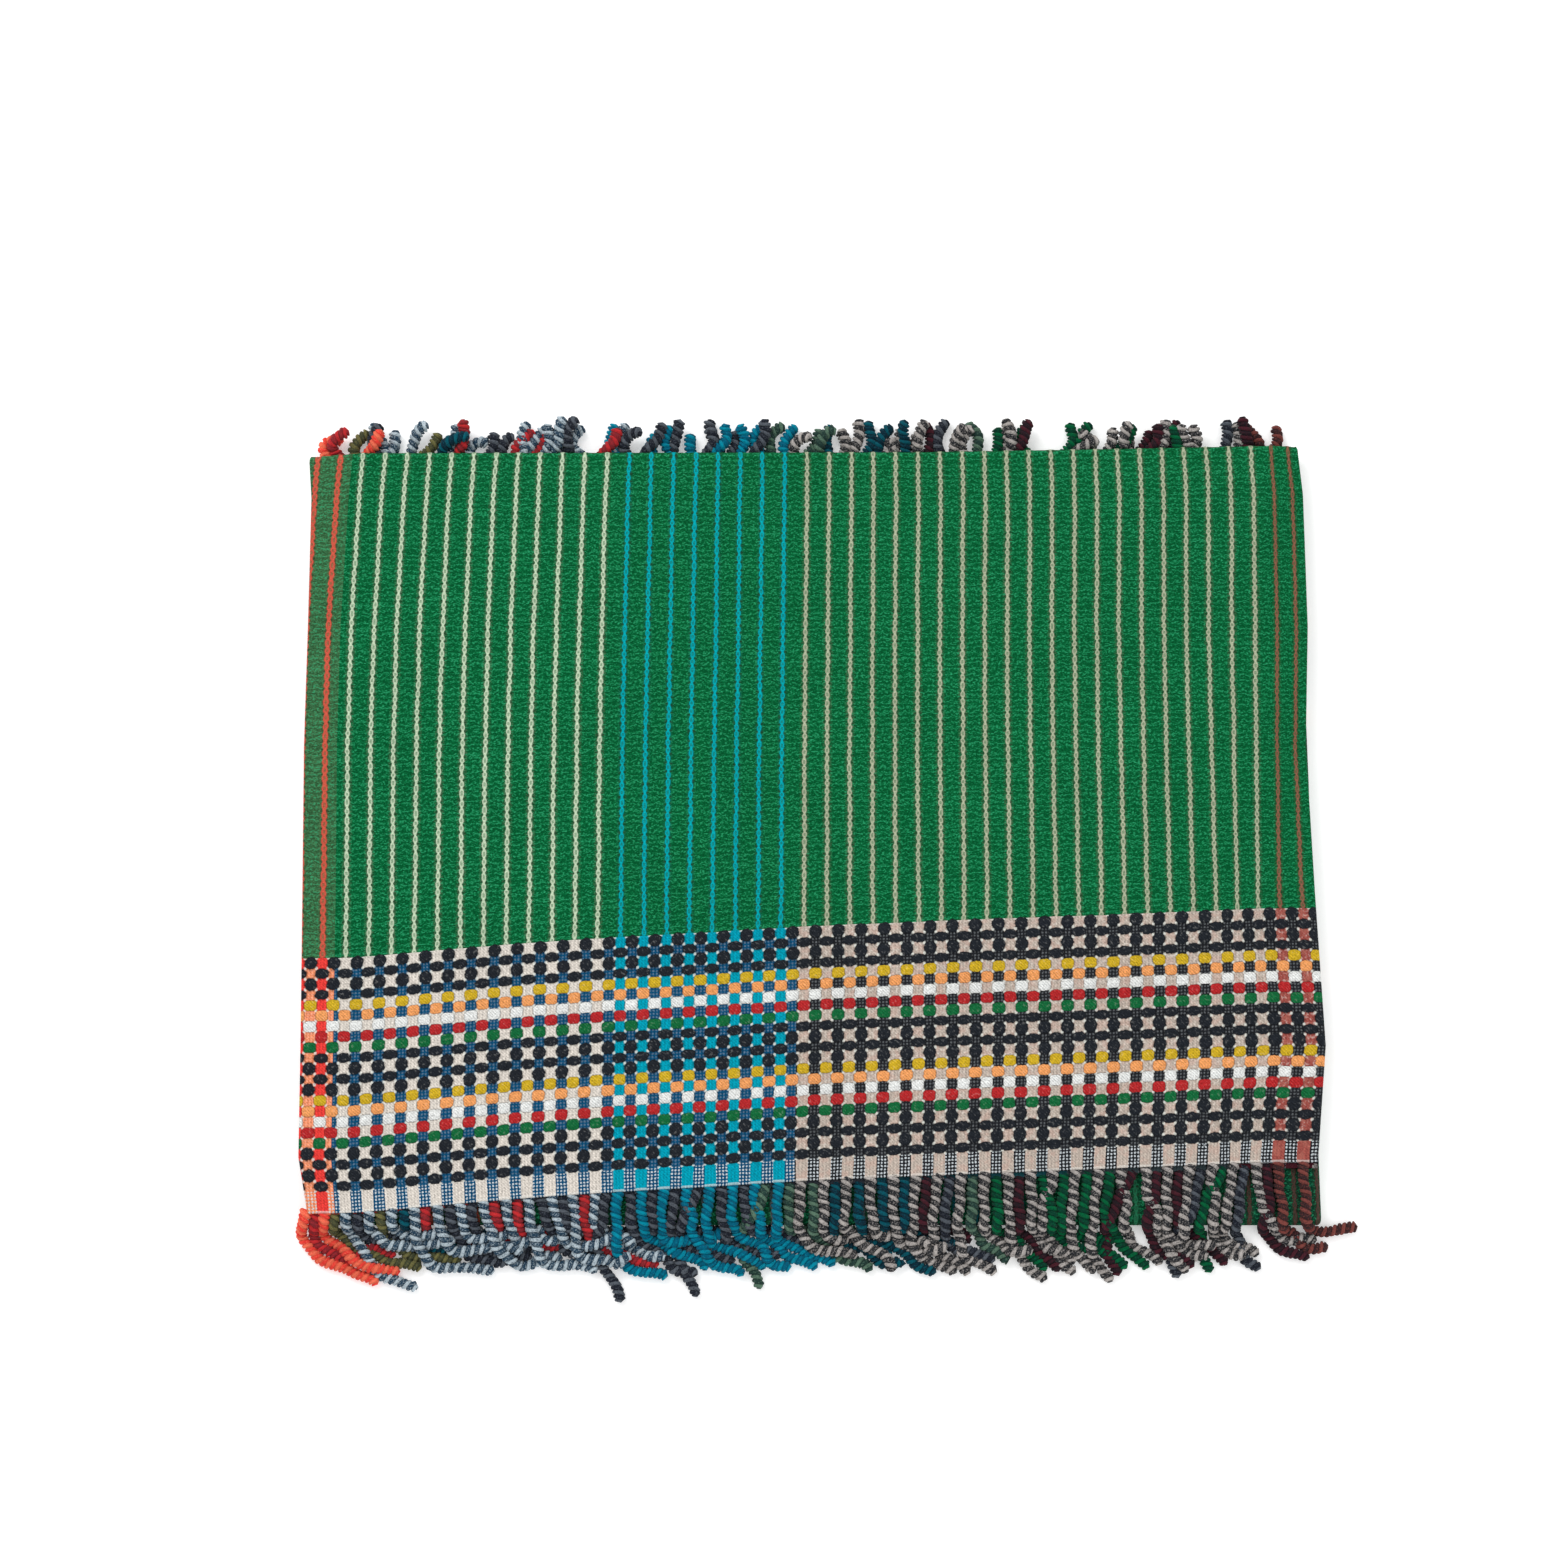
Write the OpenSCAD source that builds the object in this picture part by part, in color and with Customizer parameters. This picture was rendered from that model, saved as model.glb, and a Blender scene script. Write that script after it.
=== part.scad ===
// Folded throw blanket: a striped double-cloth throw with a woven checked band and a fringe at each
// end. It is folded in half across its width, then in three along its length. The three panels lie
// in a zig-zag, so the fringe of one end lies over the front and that of the other end pokes out
// behind. Each panel is two layers of cloth that meet in the width fold, along the right edge.
// X runs along the fold lines to the right, Y to the rear and Z up. The origin is the centre of the
// folded stack's outline, on the surface that it rests on.

/* [Folded size] */
// Width of the folded throw, from its selvedges on the left to the width fold on the right
folded_width = 725; // [600:5:870]
// Length of each panel, from fold line to fold line
panel_length = 560; // [440:4:690]
// Setback of the upper woven end from the front fold line, at the left edge
woven_end_setback = 1; // [0:1:20]
// How much further back the upper woven end lies at the right edge
woven_end_skew = 35; // [0:1:60]
// Setback of the lower woven end from the rear fold line
rear_end_setback = 50; // [30:2:72]

/* [Cloth] */
// Thickness of one layer of the cloth
cloth_thickness = 3; // [1.5:0.1:4]
// Air between two layers that lie on each other
layer_gap = 0.3; // [0.2:0.05:1]

/* [Fringe] */
// Number of warp stripes, with one face strand to each
stripe_count = 45; // [24:1:45]
// Distance from the width fold to the stripe nearest to it
fold_margin = 9; // [5:0.5:14]
// How far the first stripe is rolled under the selvedge
selvedge_roll = 1.2; // [0:0.1:2]
// Diameter of a twisted strand
strand_diameter = 6.2; // [3.5:0.1:7.5]
// Length of a strand
strand_length = 88; // [76:1:120]
// How far the strands run past the front fold line before they drop
strand_overhang = 3; // [2:0.5:8]
// Turn of a face strand on the floor at the left edge, towards the right
sweep_left = 58; // [0:1:60]
// Turn of a face strand on the floor at the right edge
sweep_right = 40; // [0:1:60]
// Radius of that turn
sweep_radius = 22; // [16:1:30]

/* [Hidden] */
$fn = 48;

// the pairs of layers
pair_height = 2 * cloth_thickness + layer_gap;
pair_step = max(pair_height, strand_diameter) + layer_gap;
front_y = -panel_length / 2;
rear_y = panel_length / 2;
left_x = -folded_width / 2;
right_x = folded_width / 2;

// the bends between two pairs, which are half rings about a fold line
front_fold_z = (pair_height + pair_step) / 2;
rear_fold_z = front_fold_z + pair_step;
inner_bend_r = (pair_step - pair_height) / 2;
outer_bend_r = inner_bend_r + cloth_thickness + layer_gap;

// the strands
stripe_pitch = (folded_width - fold_margin + selvedge_roll) / (stripe_count - 1);
strand_r = strand_diameter / 2;
top_strand_z = 2 * pair_step + max(pair_height / 2, strand_r);
floor_strand_z = strand_r + 0.02;
face_strand_z = floor_strand_z + strand_diameter + 0.1;
face_drop_angle = 60;
lining_drop_angle = 80;
strand_sides = 6;
wide = 2 * folded_width;

FACE = [["scarlet", 2], ["cream", 12], ["turquoise", 8], ["taupe", 21], ["rust", 2]];
LINING = [
    ["brick", 1], ["olive", 1], ["slate", 1], ["olive", 1], ["teal", 1], ["brick", 1],
    ["slate", 2], ["brick", 2], ["slate", 2], ["brick", 1], ["slate", 7], ["sage", 3],
    ["teal", 4], ["burgundy", 1], ["slate", 1], ["sage", 1], ["green", 1], ["burgundy", 1],
    ["green", 4], ["burgundy", 3], ["slate", 1], ["green", 1], ["slate", 1], ["burgundy", 1],
    ["teal", 1]
];
YARN = [
    ["scarlet", [0.85, 0.22, 0.20]], ["cream", [0.86, 0.84, 0.79]], ["turquoise", [0.02, 0.60, 0.66]],
    ["taupe", [0.67, 0.64, 0.60]], ["rust", [0.56, 0.30, 0.25]], ["brick", [0.75, 0.24, 0.20]],
    ["olive", [0.42, 0.40, 0.24]], ["slate", [0.24, 0.26, 0.31]], ["teal", [0.05, 0.30, 0.33]],
    ["sage", [0.42, 0.52, 0.42]], ["green", [0.03, 0.42, 0.24]], ["burgundy", [0.36, 0.13, 0.17]]
];

// colour of a yarn by its name
function yarn(name) = YARN[search([name], YARN)[0]][1];
// how many stripes the groups before number n hold
function before(groups, n) = n == 0 ? 0 : groups[n - 1][1] + before(groups, n - 1);
// the stripes of one colour, counted from the left
function stripes(groups, name) = [
    for (n = [0 : len(groups) - 1])
        if (groups[n][0] == name)
            for (i = [before(groups, n) : before(groups, n + 1) - 1])
                if (i < stripe_count) i
];
// place of face strand i, and of the lining strand to its right
function face_x(i) = right_x - fold_margin - (stripe_count - 1 - i) * stripe_pitch;
function lining_x(i) = face_x(i) + stripe_pitch / 2;
// share of the width at a place, from 0 at the left edge to 1 at the right
function share(x) = (x - left_x) / folded_width;
// the upper woven end at a place
function woven_end_y(x) = front_y + woven_end_setback + woven_end_skew * share(x);
function sweep(x) = sweep_left + (sweep_right - sweep_left) * min(1, max(0, share(x)));

// Two layers joined by the width fold at the right edge, from one y to another
module layer_pair(from_y, to_y, z) {
    fold_r = pair_height / 2;
    straight = folded_width - fold_r;
    translate([0, to_y, z])
        rotate([90, 0, 0])
            linear_extrude(height = to_y - from_y) {
                for (lift = [0, cloth_thickness + layer_gap])
                    translate([left_x, lift])
                        square([straight, cloth_thickness]);
                translate([left_x + straight, fold_r])
                    intersection() {
                        difference() {
                            circle(r = fold_r);
                            circle(r = layer_gap / 2);
                        }
                        translate([0, -fold_r])
                            square([fold_r, 2 * fold_r]);
                    }
            }
}

// Half a ring of cloth about a fold line; toward is -1 for the front and 1 for the rear
module bend(y, z, inner_r, toward) {
    translate([left_x, y, z])
        rotate([90, 0, 90])
            linear_extrude(height = folded_width - pair_height / 2)
                intersection() {
                    difference() {
                        circle(r = inner_r + cloth_thickness);
                        circle(r = inner_r);
                    }
                    translate([toward > 0 ? 0 : -wide, -wide / 2])
                        square([wide, wide]);
                }
}

// Points that bring a strand from level down to low_z in two equal bends, one down and one back
function drop_path(x, low_z, drop_angle) =
    let (
        bend_r = (top_strand_z - low_z) / (2 * (1 - cos(drop_angle))),
        start_y = front_y - strand_overhang,
        end_y = start_y - 2 * bend_r * sin(drop_angle),
        half = drop_angle / 2
    ) [
        for (a = [0, half]) [x, start_y - bend_r * sin(a), top_strand_z - bend_r * (1 - cos(a))],
        for (a = [drop_angle, half, 0]) [x, end_y + bend_r * sin(a), low_z + bend_r * (1 - cos(a))]
    ];

// Length of a path
function path_length(path, n = 0) =
    n >= len(path) - 1 ? 0 : norm(path[n + 1] - path[n]) + path_length(path, n + 1);

// The whole path: level over the edge, down, and along the floor with a turn to the right
function front_path(x, low_z, drop_angle, turn) =
    let (
        down = concat([[x, woven_end_y(x), top_strand_z]], drop_path(x, low_z, drop_angle)),
        foot = down[len(down) - 1],
        spare = strand_length - path_length(down),
        turned = min(turn, spare / sweep_radius * 180 / PI * 0.9),
        rest = spare - sweep_radius * turned * PI / 180,
        bent = foot + sweep_radius * [1 - cos(turned), -sin(turned), 0]
    )
    turned > 0
        ? concat(down, [
            foot + sweep_radius * [1 - cos(turned / 2), -sin(turned / 2), 0],
            bent,
            bent + rest * [sin(turned), -cos(turned), 0]
        ])
        : concat(down, [foot - [0, spare, 0]]);

// Direction of a path at one of its points
function heading(path, n) =
    let (d = path[min(n + 1, len(path) - 1)] - path[max(n - 1, 0)]) d / norm(d);

// A strand along a path, flush with the woven end at its start and cut square at its tip
module strand_along(path) {
    rings = len(path);
    points = [
        for (n = [0 : rings - 1])
            let (
                ahead = n == 0 ? [0, -1, 0] : heading(path, n),
                side = cross(ahead, [0, 0, 1]) / norm(cross(ahead, [0, 0, 1])),
                up = cross(side, ahead)
            )
            for (k = [0 : strand_sides - 1])
                let (
                    a = 360 / strand_sides * k,
                    corner = path[n] + strand_r * (cos(a) * side + sin(a) * up)
                )
                n == 0 ? [corner[0], woven_end_y(corner[0]), corner[2]] : corner
    ];
    walls = [
        for (n = [0 : rings - 2])
            for (k = [0 : strand_sides - 1])
                let (
                    from = n * strand_sides,
                    to = (n + 1) * strand_sides,
                    next = (k + 1) % strand_sides
                )
                [from + k, to + k, to + next, from + next]
    ];
    first_end = [for (k = [0 : strand_sides - 1]) k];
    last_end = [for (k = [strand_sides - 1 : -1 : 0]) (rings - 1) * strand_sides + k];
    polyhedron(points = points, faces = concat(walls, [first_end, last_end]));
}

// A strand from the woven end over the front edge and down to a height
module front_strand(x, low_z, drop_angle, turn) {
    strand_along(front_path(x, low_z, drop_angle, turn));
}

// A strand from the lower woven end, flat on the floor to the rear
module rear_strand(x) {
    translate([x, rear_y - rear_end_setback, max(strand_r, pair_height / 2)])
        rotate([-90, 0, 0])
            cylinder(r = strand_r, h = strand_length);
}

module bottom_panel_cloth() {
    color([0.02, 0.46, 0.26])
        layer_pair(front_y, rear_y - rear_end_setback, 0);
}

module middle_panel_cloth() {
    color([0.02, 0.46, 0.26])
        layer_pair(front_y + layer_gap, rear_y, pair_step);
}

module top_panel_cloth() {
    slant = atan(woven_end_skew / folded_width);
    color([0.02, 0.46, 0.26])
        difference() {
            layer_pair(front_y - woven_end_skew, rear_y - layer_gap, 2 * pair_step);
            translate([left_x, front_y + woven_end_setback, 2 * pair_step - pair_height])
                rotate([0, 0, slant])
                    translate([-wide / 2, -wide, 0])
                        cube([2 * wide, wide, 3 * pair_height]);
        }
}

module front_fold_inner() {
    color([0.02, 0.46, 0.26])
        bend(front_y, front_fold_z, inner_bend_r, -1);
}

module front_fold_outer() {
    color([0.02, 0.46, 0.26])
        bend(front_y, front_fold_z, outer_bend_r, -1);
}

module rear_fold_inner() {
    color([0.02, 0.46, 0.26])
        bend(rear_y, rear_fold_z, inner_bend_r, 1);
}

module rear_fold_outer() {
    color([0.02, 0.46, 0.26])
        bend(rear_y, rear_fold_z, outer_bend_r, 1);
}

// The face strands of one colour at the front, which end on top of the lining strands
module front_fringe(name) {
    color(yarn(name))
        for (i = stripes(FACE, name))
            front_strand(face_x(i), face_strand_z, face_drop_angle, sweep(face_x(i)));
}

// The lining strands of one colour at the front; the last stripe is inside the width fold
module front_lining_fringe(name) {
    color(yarn(name))
        for (i = stripes(LINING, name))
            if (i < stripe_count - 1)
                front_strand(lining_x(i), floor_strand_z, lining_drop_angle, 0);
}

module rear_fringe(name) {
    color(yarn(name))
        for (i = stripes(FACE, name))
            rear_strand(face_x(i));
}

module rear_lining_fringe(name) {
    color(yarn(name))
        for (i = stripes(LINING, name))
            if (i < stripe_count - 1)
                rear_strand(lining_x(i));
}

module front_fringe_scarlet() { front_fringe("scarlet"); }
module front_fringe_cream() { front_fringe("cream"); }
module front_fringe_turquoise() { front_fringe("turquoise"); }
module front_fringe_taupe() { front_fringe("taupe"); }
module front_fringe_rust() { front_fringe("rust"); }
module front_lining_fringe_brick() { front_lining_fringe("brick"); }
module front_lining_fringe_olive() { front_lining_fringe("olive"); }
module front_lining_fringe_slate() { front_lining_fringe("slate"); }
module front_lining_fringe_teal() { front_lining_fringe("teal"); }
module front_lining_fringe_sage() { front_lining_fringe("sage"); }
module front_lining_fringe_green() { front_lining_fringe("green"); }
module front_lining_fringe_burgundy() { front_lining_fringe("burgundy"); }
module rear_fringe_scarlet() { rear_fringe("scarlet"); }
module rear_fringe_cream() { rear_fringe("cream"); }
module rear_fringe_turquoise() { rear_fringe("turquoise"); }
module rear_fringe_taupe() { rear_fringe("taupe"); }
module rear_fringe_rust() { rear_fringe("rust"); }
module rear_lining_fringe_brick() { rear_lining_fringe("brick"); }
module rear_lining_fringe_olive() { rear_lining_fringe("olive"); }
module rear_lining_fringe_slate() { rear_lining_fringe("slate"); }
module rear_lining_fringe_teal() { rear_lining_fringe("teal"); }
module rear_lining_fringe_sage() { rear_lining_fringe("sage"); }
module rear_lining_fringe_green() { rear_lining_fringe("green"); }
module rear_lining_fringe_burgundy() { rear_lining_fringe("burgundy"); }

bottom_panel_cloth();
middle_panel_cloth();
top_panel_cloth();
front_fold_inner();
front_fold_outer();
rear_fold_inner();
rear_fold_outer();
front_fringe_scarlet();
front_fringe_cream();
front_fringe_turquoise();
front_fringe_taupe();
front_fringe_rust();
front_lining_fringe_brick();
front_lining_fringe_olive();
front_lining_fringe_slate();
front_lining_fringe_teal();
front_lining_fringe_sage();
front_lining_fringe_green();
front_lining_fringe_burgundy();
rear_fringe_scarlet();
rear_fringe_cream();
rear_fringe_turquoise();
rear_fringe_taupe();
rear_fringe_rust();
rear_lining_fringe_brick();
rear_lining_fringe_olive();
rear_lining_fringe_slate();
rear_lining_fringe_teal();
rear_lining_fringe_sage();
rear_lining_fringe_green();
rear_lining_fringe_burgundy();
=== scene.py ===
"""A folded throw blanket: its striped double cloth, its checked bands and its twisted fringes.

The cloth is one sheet. It is folded in half across its width and then in three along its length,
and it is built as two meshes that meet inside the middle panel, so that each crosses one joint.
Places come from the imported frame. Lengths are in metres, but those of the weave, of the shader
of the cloth and of any name that ends in _mm are in millimetres.
"""

import logging
import math
import random
from dataclasses import dataclass
from enum import Enum
from typing import Optional, Sequence, Union

import bpy
import numpy as np
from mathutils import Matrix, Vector


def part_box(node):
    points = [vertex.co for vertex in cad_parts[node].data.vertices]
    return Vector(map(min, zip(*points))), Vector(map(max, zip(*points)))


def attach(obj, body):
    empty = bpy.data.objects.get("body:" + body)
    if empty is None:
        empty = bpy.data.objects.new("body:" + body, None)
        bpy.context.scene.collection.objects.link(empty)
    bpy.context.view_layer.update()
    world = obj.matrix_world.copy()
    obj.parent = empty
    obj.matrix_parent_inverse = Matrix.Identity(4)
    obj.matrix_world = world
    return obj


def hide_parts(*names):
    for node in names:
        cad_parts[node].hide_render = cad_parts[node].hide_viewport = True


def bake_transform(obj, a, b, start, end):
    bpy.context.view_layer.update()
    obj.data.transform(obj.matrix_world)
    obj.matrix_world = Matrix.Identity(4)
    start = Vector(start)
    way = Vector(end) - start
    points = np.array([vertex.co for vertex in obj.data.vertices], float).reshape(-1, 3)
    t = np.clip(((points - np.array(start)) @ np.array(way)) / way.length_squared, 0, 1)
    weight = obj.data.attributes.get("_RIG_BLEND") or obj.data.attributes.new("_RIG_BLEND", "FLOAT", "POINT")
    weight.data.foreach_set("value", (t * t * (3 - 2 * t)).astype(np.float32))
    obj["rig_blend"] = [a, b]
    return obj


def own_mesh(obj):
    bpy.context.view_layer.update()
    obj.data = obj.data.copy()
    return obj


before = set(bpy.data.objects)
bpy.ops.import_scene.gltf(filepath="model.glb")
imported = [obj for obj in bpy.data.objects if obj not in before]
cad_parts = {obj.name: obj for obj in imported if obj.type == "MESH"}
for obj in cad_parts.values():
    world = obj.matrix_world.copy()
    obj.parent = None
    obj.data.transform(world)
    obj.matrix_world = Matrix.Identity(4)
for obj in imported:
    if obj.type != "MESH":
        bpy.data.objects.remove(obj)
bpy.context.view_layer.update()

MM = 0.001
TURN = 2 * math.pi
WHITE = (1.0, 1.0, 1.0, 1.0)
LOG = logging.getLogger("throw")
Colour = tuple[float, float, float]
Number = Union[int, float]


def rgb(red: int, green: int, blue: int) -> Colour:
    """The linear colour of a screen colour.

    Args:
        red: its red part, from 0 to 255.
        green: its green part.
        blue: its blue part.

    Returns:
        The linear parts, from 0 to 1.
    """
    parts = []
    for value in (red, green, blue):
        share = value / 255
        parts.append(share / 12.92 if share <= 0.04045 else ((share + 0.055) / 1.055) ** 2.4)
    return (parts[0], parts[1], parts[2])


class End(Enum):
    """The two woven ends: one lies on top at the front, the other underneath at the rear."""

    FRONT = "front"
    REAR = "rear"


class Half(Enum):
    """The two halves of the width: the face lies above its lining in the top panel."""

    FACE = "fringe"
    LINING = "lining_fringe"


# ------------------------------------------------------------------------------ shader maths


class Value:
    """One output socket, with operators that add Math nodes."""

    def __init__(self, graph: "Graph", socket: Optional[bpy.types.NodeSocket]) -> None:
        """Wraps a socket of a graph."""
        self.graph = graph
        self.socket = socket

    def _math(self, operation: str, *others: "Operand") -> "Value":
        """A Math node on this value and others."""
        return self.graph.node("ShaderNodeMath", {"operation": operation}, [self, *others])

    def __add__(self, other: "Operand") -> "Value":
        """This plus other."""
        return self._math("ADD", other)

    __radd__ = __add__

    def __sub__(self, other: "Operand") -> "Value":
        """This minus other."""
        return self._math("SUBTRACT", other)

    def __rsub__(self, other: "Operand") -> "Value":
        """Other minus this."""
        return self.graph.node("ShaderNodeMath", {"operation": "SUBTRACT"}, [other, self])

    def __mul__(self, other: "Operand") -> "Value":
        """This times other."""
        return self._math("MULTIPLY", other)

    __rmul__ = __mul__

    def __truediv__(self, other: "Operand") -> "Value":
        """This over other."""
        return self._math("DIVIDE", other)

    def __pow__(self, other: "Operand") -> "Value":
        """This to the power of other."""
        return self._math("POWER", other)

    def __lt__(self, other: "Operand") -> "Value":
        """1 where this is less than other."""
        return self._math("LESS_THAN", other)

    def __gt__(self, other: "Operand") -> "Value":
        """1 where this is greater than other."""
        return self._math("GREATER_THAN", other)

    def __abs__(self) -> "Value":
        """The absolute value."""
        return self._math("ABSOLUTE")

    def floor(self) -> "Value":
        """The next whole number down."""
        return self._math("FLOOR")

    def fract(self) -> "Value":
        """What is left over the whole number."""
        return self._math("FRACT")

    def sin(self) -> "Value":
        """The sine of this, in radians."""
        return self._math("SINE")

    def least(self, other: "Operand") -> "Value":
        """The smaller of the two."""
        return self._math("MINIMUM", other)

    def most(self, other: "Operand") -> "Value":
        """The larger of the two."""
        return self._math("MAXIMUM", other)

    def smooth(self, low: float, high: float) -> "Value":
        """A smooth step between two limits.

        Args:
            low: the limit at which the step is 0.
            high: the limit at which it is 1; it may be the smaller one.

        Returns:
            The step's height.
        """
        settings = {"interpolation_type": "SMOOTHSTEP"}
        if low < high:
            return self.graph.node("ShaderNodeMapRange", settings, {0: self, 1: low, 2: high})
        return 1 - self.smooth(high, low)


Operand = Union[Value, Number]


class Graph:
    """The node tree of one material."""

    WOOL_ROUGHNESS = 0.95
    WOOL_SPECULAR = 0.06
    SHEEN_ROUGHNESS = 0.5

    def __init__(self, name: str) -> None:
        """Starts an empty material of that name."""
        self.material = bpy.data.materials.new(name)
        self.material.use_nodes = True
        self.tree = self.material.node_tree
        self.tree.nodes.clear()

    def node(
        self,
        kind: str,
        settings: Optional[dict] = None,
        inputs: Union[Sequence, dict, None] = None,
        output: int = 0,
    ) -> Value:
        """Adds a node, sets it and links it.

        Args:
            kind: the node's type name.
            settings: its attributes; "stops" holds the places and colours of a ramp.
            inputs: values or links of its sockets, in order or by index or name.
            output: which output socket is wanted.

        Returns:
            The chosen output, wrapped.
        """
        made = self.tree.nodes.new(kind)
        for name, value in (settings or {}).items():
            if name == "stops":
                self._set_ramp(made.color_ramp, value)
            else:
                setattr(made, name, value)
        pairs = inputs.items() if isinstance(inputs, dict) else enumerate(inputs or ())
        for key, value in pairs:
            if isinstance(value, Value):
                self.tree.links.new(value.socket, made.inputs[key])
            elif value is not None:
                made.inputs[key].default_value = value
        return Value(self, made.outputs[output] if made.outputs else None)

    @staticmethod
    def _set_ramp(ramp: bpy.types.ColorRamp, stops: Sequence[tuple[float, Colour]]) -> None:
        """Gives a ramp constant steps of colour.

        Args:
            ramp: the ramp to set.
            stops: the place from which each colour holds, and the colour.
        """
        ramp.interpolation = "CONSTANT"
        while len(ramp.elements) < len(stops):
            ramp.elements.new(1.0)
        for element, (place, colour) in zip(ramp.elements, stops):
            element.position = place
            element.color = (*colour, 1.0)

    def ramp(self, factor: Value, stops: Sequence[tuple[float, Colour]]) -> Value:
        """The colour that a stepped ramp has at a factor."""
        return self.node("ShaderNodeValToRGB", {"stops": stops}, [factor])

    def mix(self, factor: Operand, first: "Paint", second: "Paint", blend: str = "MIX") -> Value:
        """Two colours mixed.

        Args:
            factor: 0 for the first colour and 1 for the second.
            first: the first colour.
            second: the second colour.
            blend: the Mix node's way of blending.

        Returns:
            The mixed colour.
        """
        ends = [part if isinstance(part, Value) else (*part, 1.0) for part in (first, second)]
        settings = {"data_type": "RGBA", "blend_type": blend, "clamp_factor": True}
        return self.node("ShaderNodeMix", settings, {0: factor, 6: ends[0], 7: ends[1]}, output=2)

    def shade(self, colour: "Paint", amount: Value) -> Value:
        """A colour made darker or lighter by a number."""
        grey = self.node("ShaderNodeCombineColor", None, [amount, amount, amount])
        return self.mix(1.0, colour, grey, "MULTIPLY")

    def split(self, vector: Value) -> tuple[Value, Value]:
        """The first two parts of a vector."""
        outputs = self.node("ShaderNodeSeparateXYZ", None, [vector]).socket.node.outputs
        return Value(self, outputs[0]), Value(self, outputs[1])

    def join(self, x: Operand, y: Operand, z: Operand = 0.0) -> Value:
        """A vector from its parts."""
        return self.node("ShaderNodeCombineXYZ", None, [x, y, z])

    def noise(self, vector: Value, scale: float, detail: float = 2.0) -> Value:
        """Smooth noise from 0 to 1 about 0.5."""
        return self.node(
            "ShaderNodeTexNoise", None, {"Vector": vector, "Scale": scale, "Detail": detail}
        )

    def wool(
        self, colour: Value, height: Value, relief: float, sheen: float, sheen_tint: Colour
    ) -> bpy.types.Material:
        """Ends the graph in a woollen surface.

        Args:
            colour: the base colour.
            height: the bump height from 0 to 1.
            relief: what a height of 1 stands for, in metres.
            sheen: how much the loose fibres catch light at grazing angles.
            sheen_tint: the colour of those fibres.

        Returns:
            The finished material.
        """
        bump = self.node(
            "ShaderNodeBump", None, {"Strength": 1.0, "Distance": relief, "Height": height}
        )
        return self.surface(
            {
                "Base Color": colour,
                "Roughness": self.WOOL_ROUGHNESS,
                "Normal": bump,
                "Sheen Weight": sheen,
                "Sheen Roughness": self.SHEEN_ROUGHNESS,
                "Sheen Tint": (*sheen_tint, 1.0),
                "Specular IOR Level": self.WOOL_SPECULAR,
            }
        )

    def surface(self, sockets: dict) -> bpy.types.Material:
        """Ends the graph in a surface whose sockets have these values or links."""
        shader = self.node("ShaderNodeBsdfPrincipled", None, sockets)
        self.node("ShaderNodeOutputMaterial", None, {"Surface": shader})
        return self.material


Paint = Union[Value, Colour]


# ------------------------------------------------------------------------------------ weave


@dataclass(frozen=True)
class Stripe:
    """A run of warp stripes of one colour, with the warps between them.

    last_mm is where the run ends across the width. chain and stripe are the stripe's colours in
    the plain cloth and in the bands, and ground and between those of the cloth beside it.
    """

    last_mm: float
    chain: Colour
    stripe: Colour
    between: Colour
    ground: Colour


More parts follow.
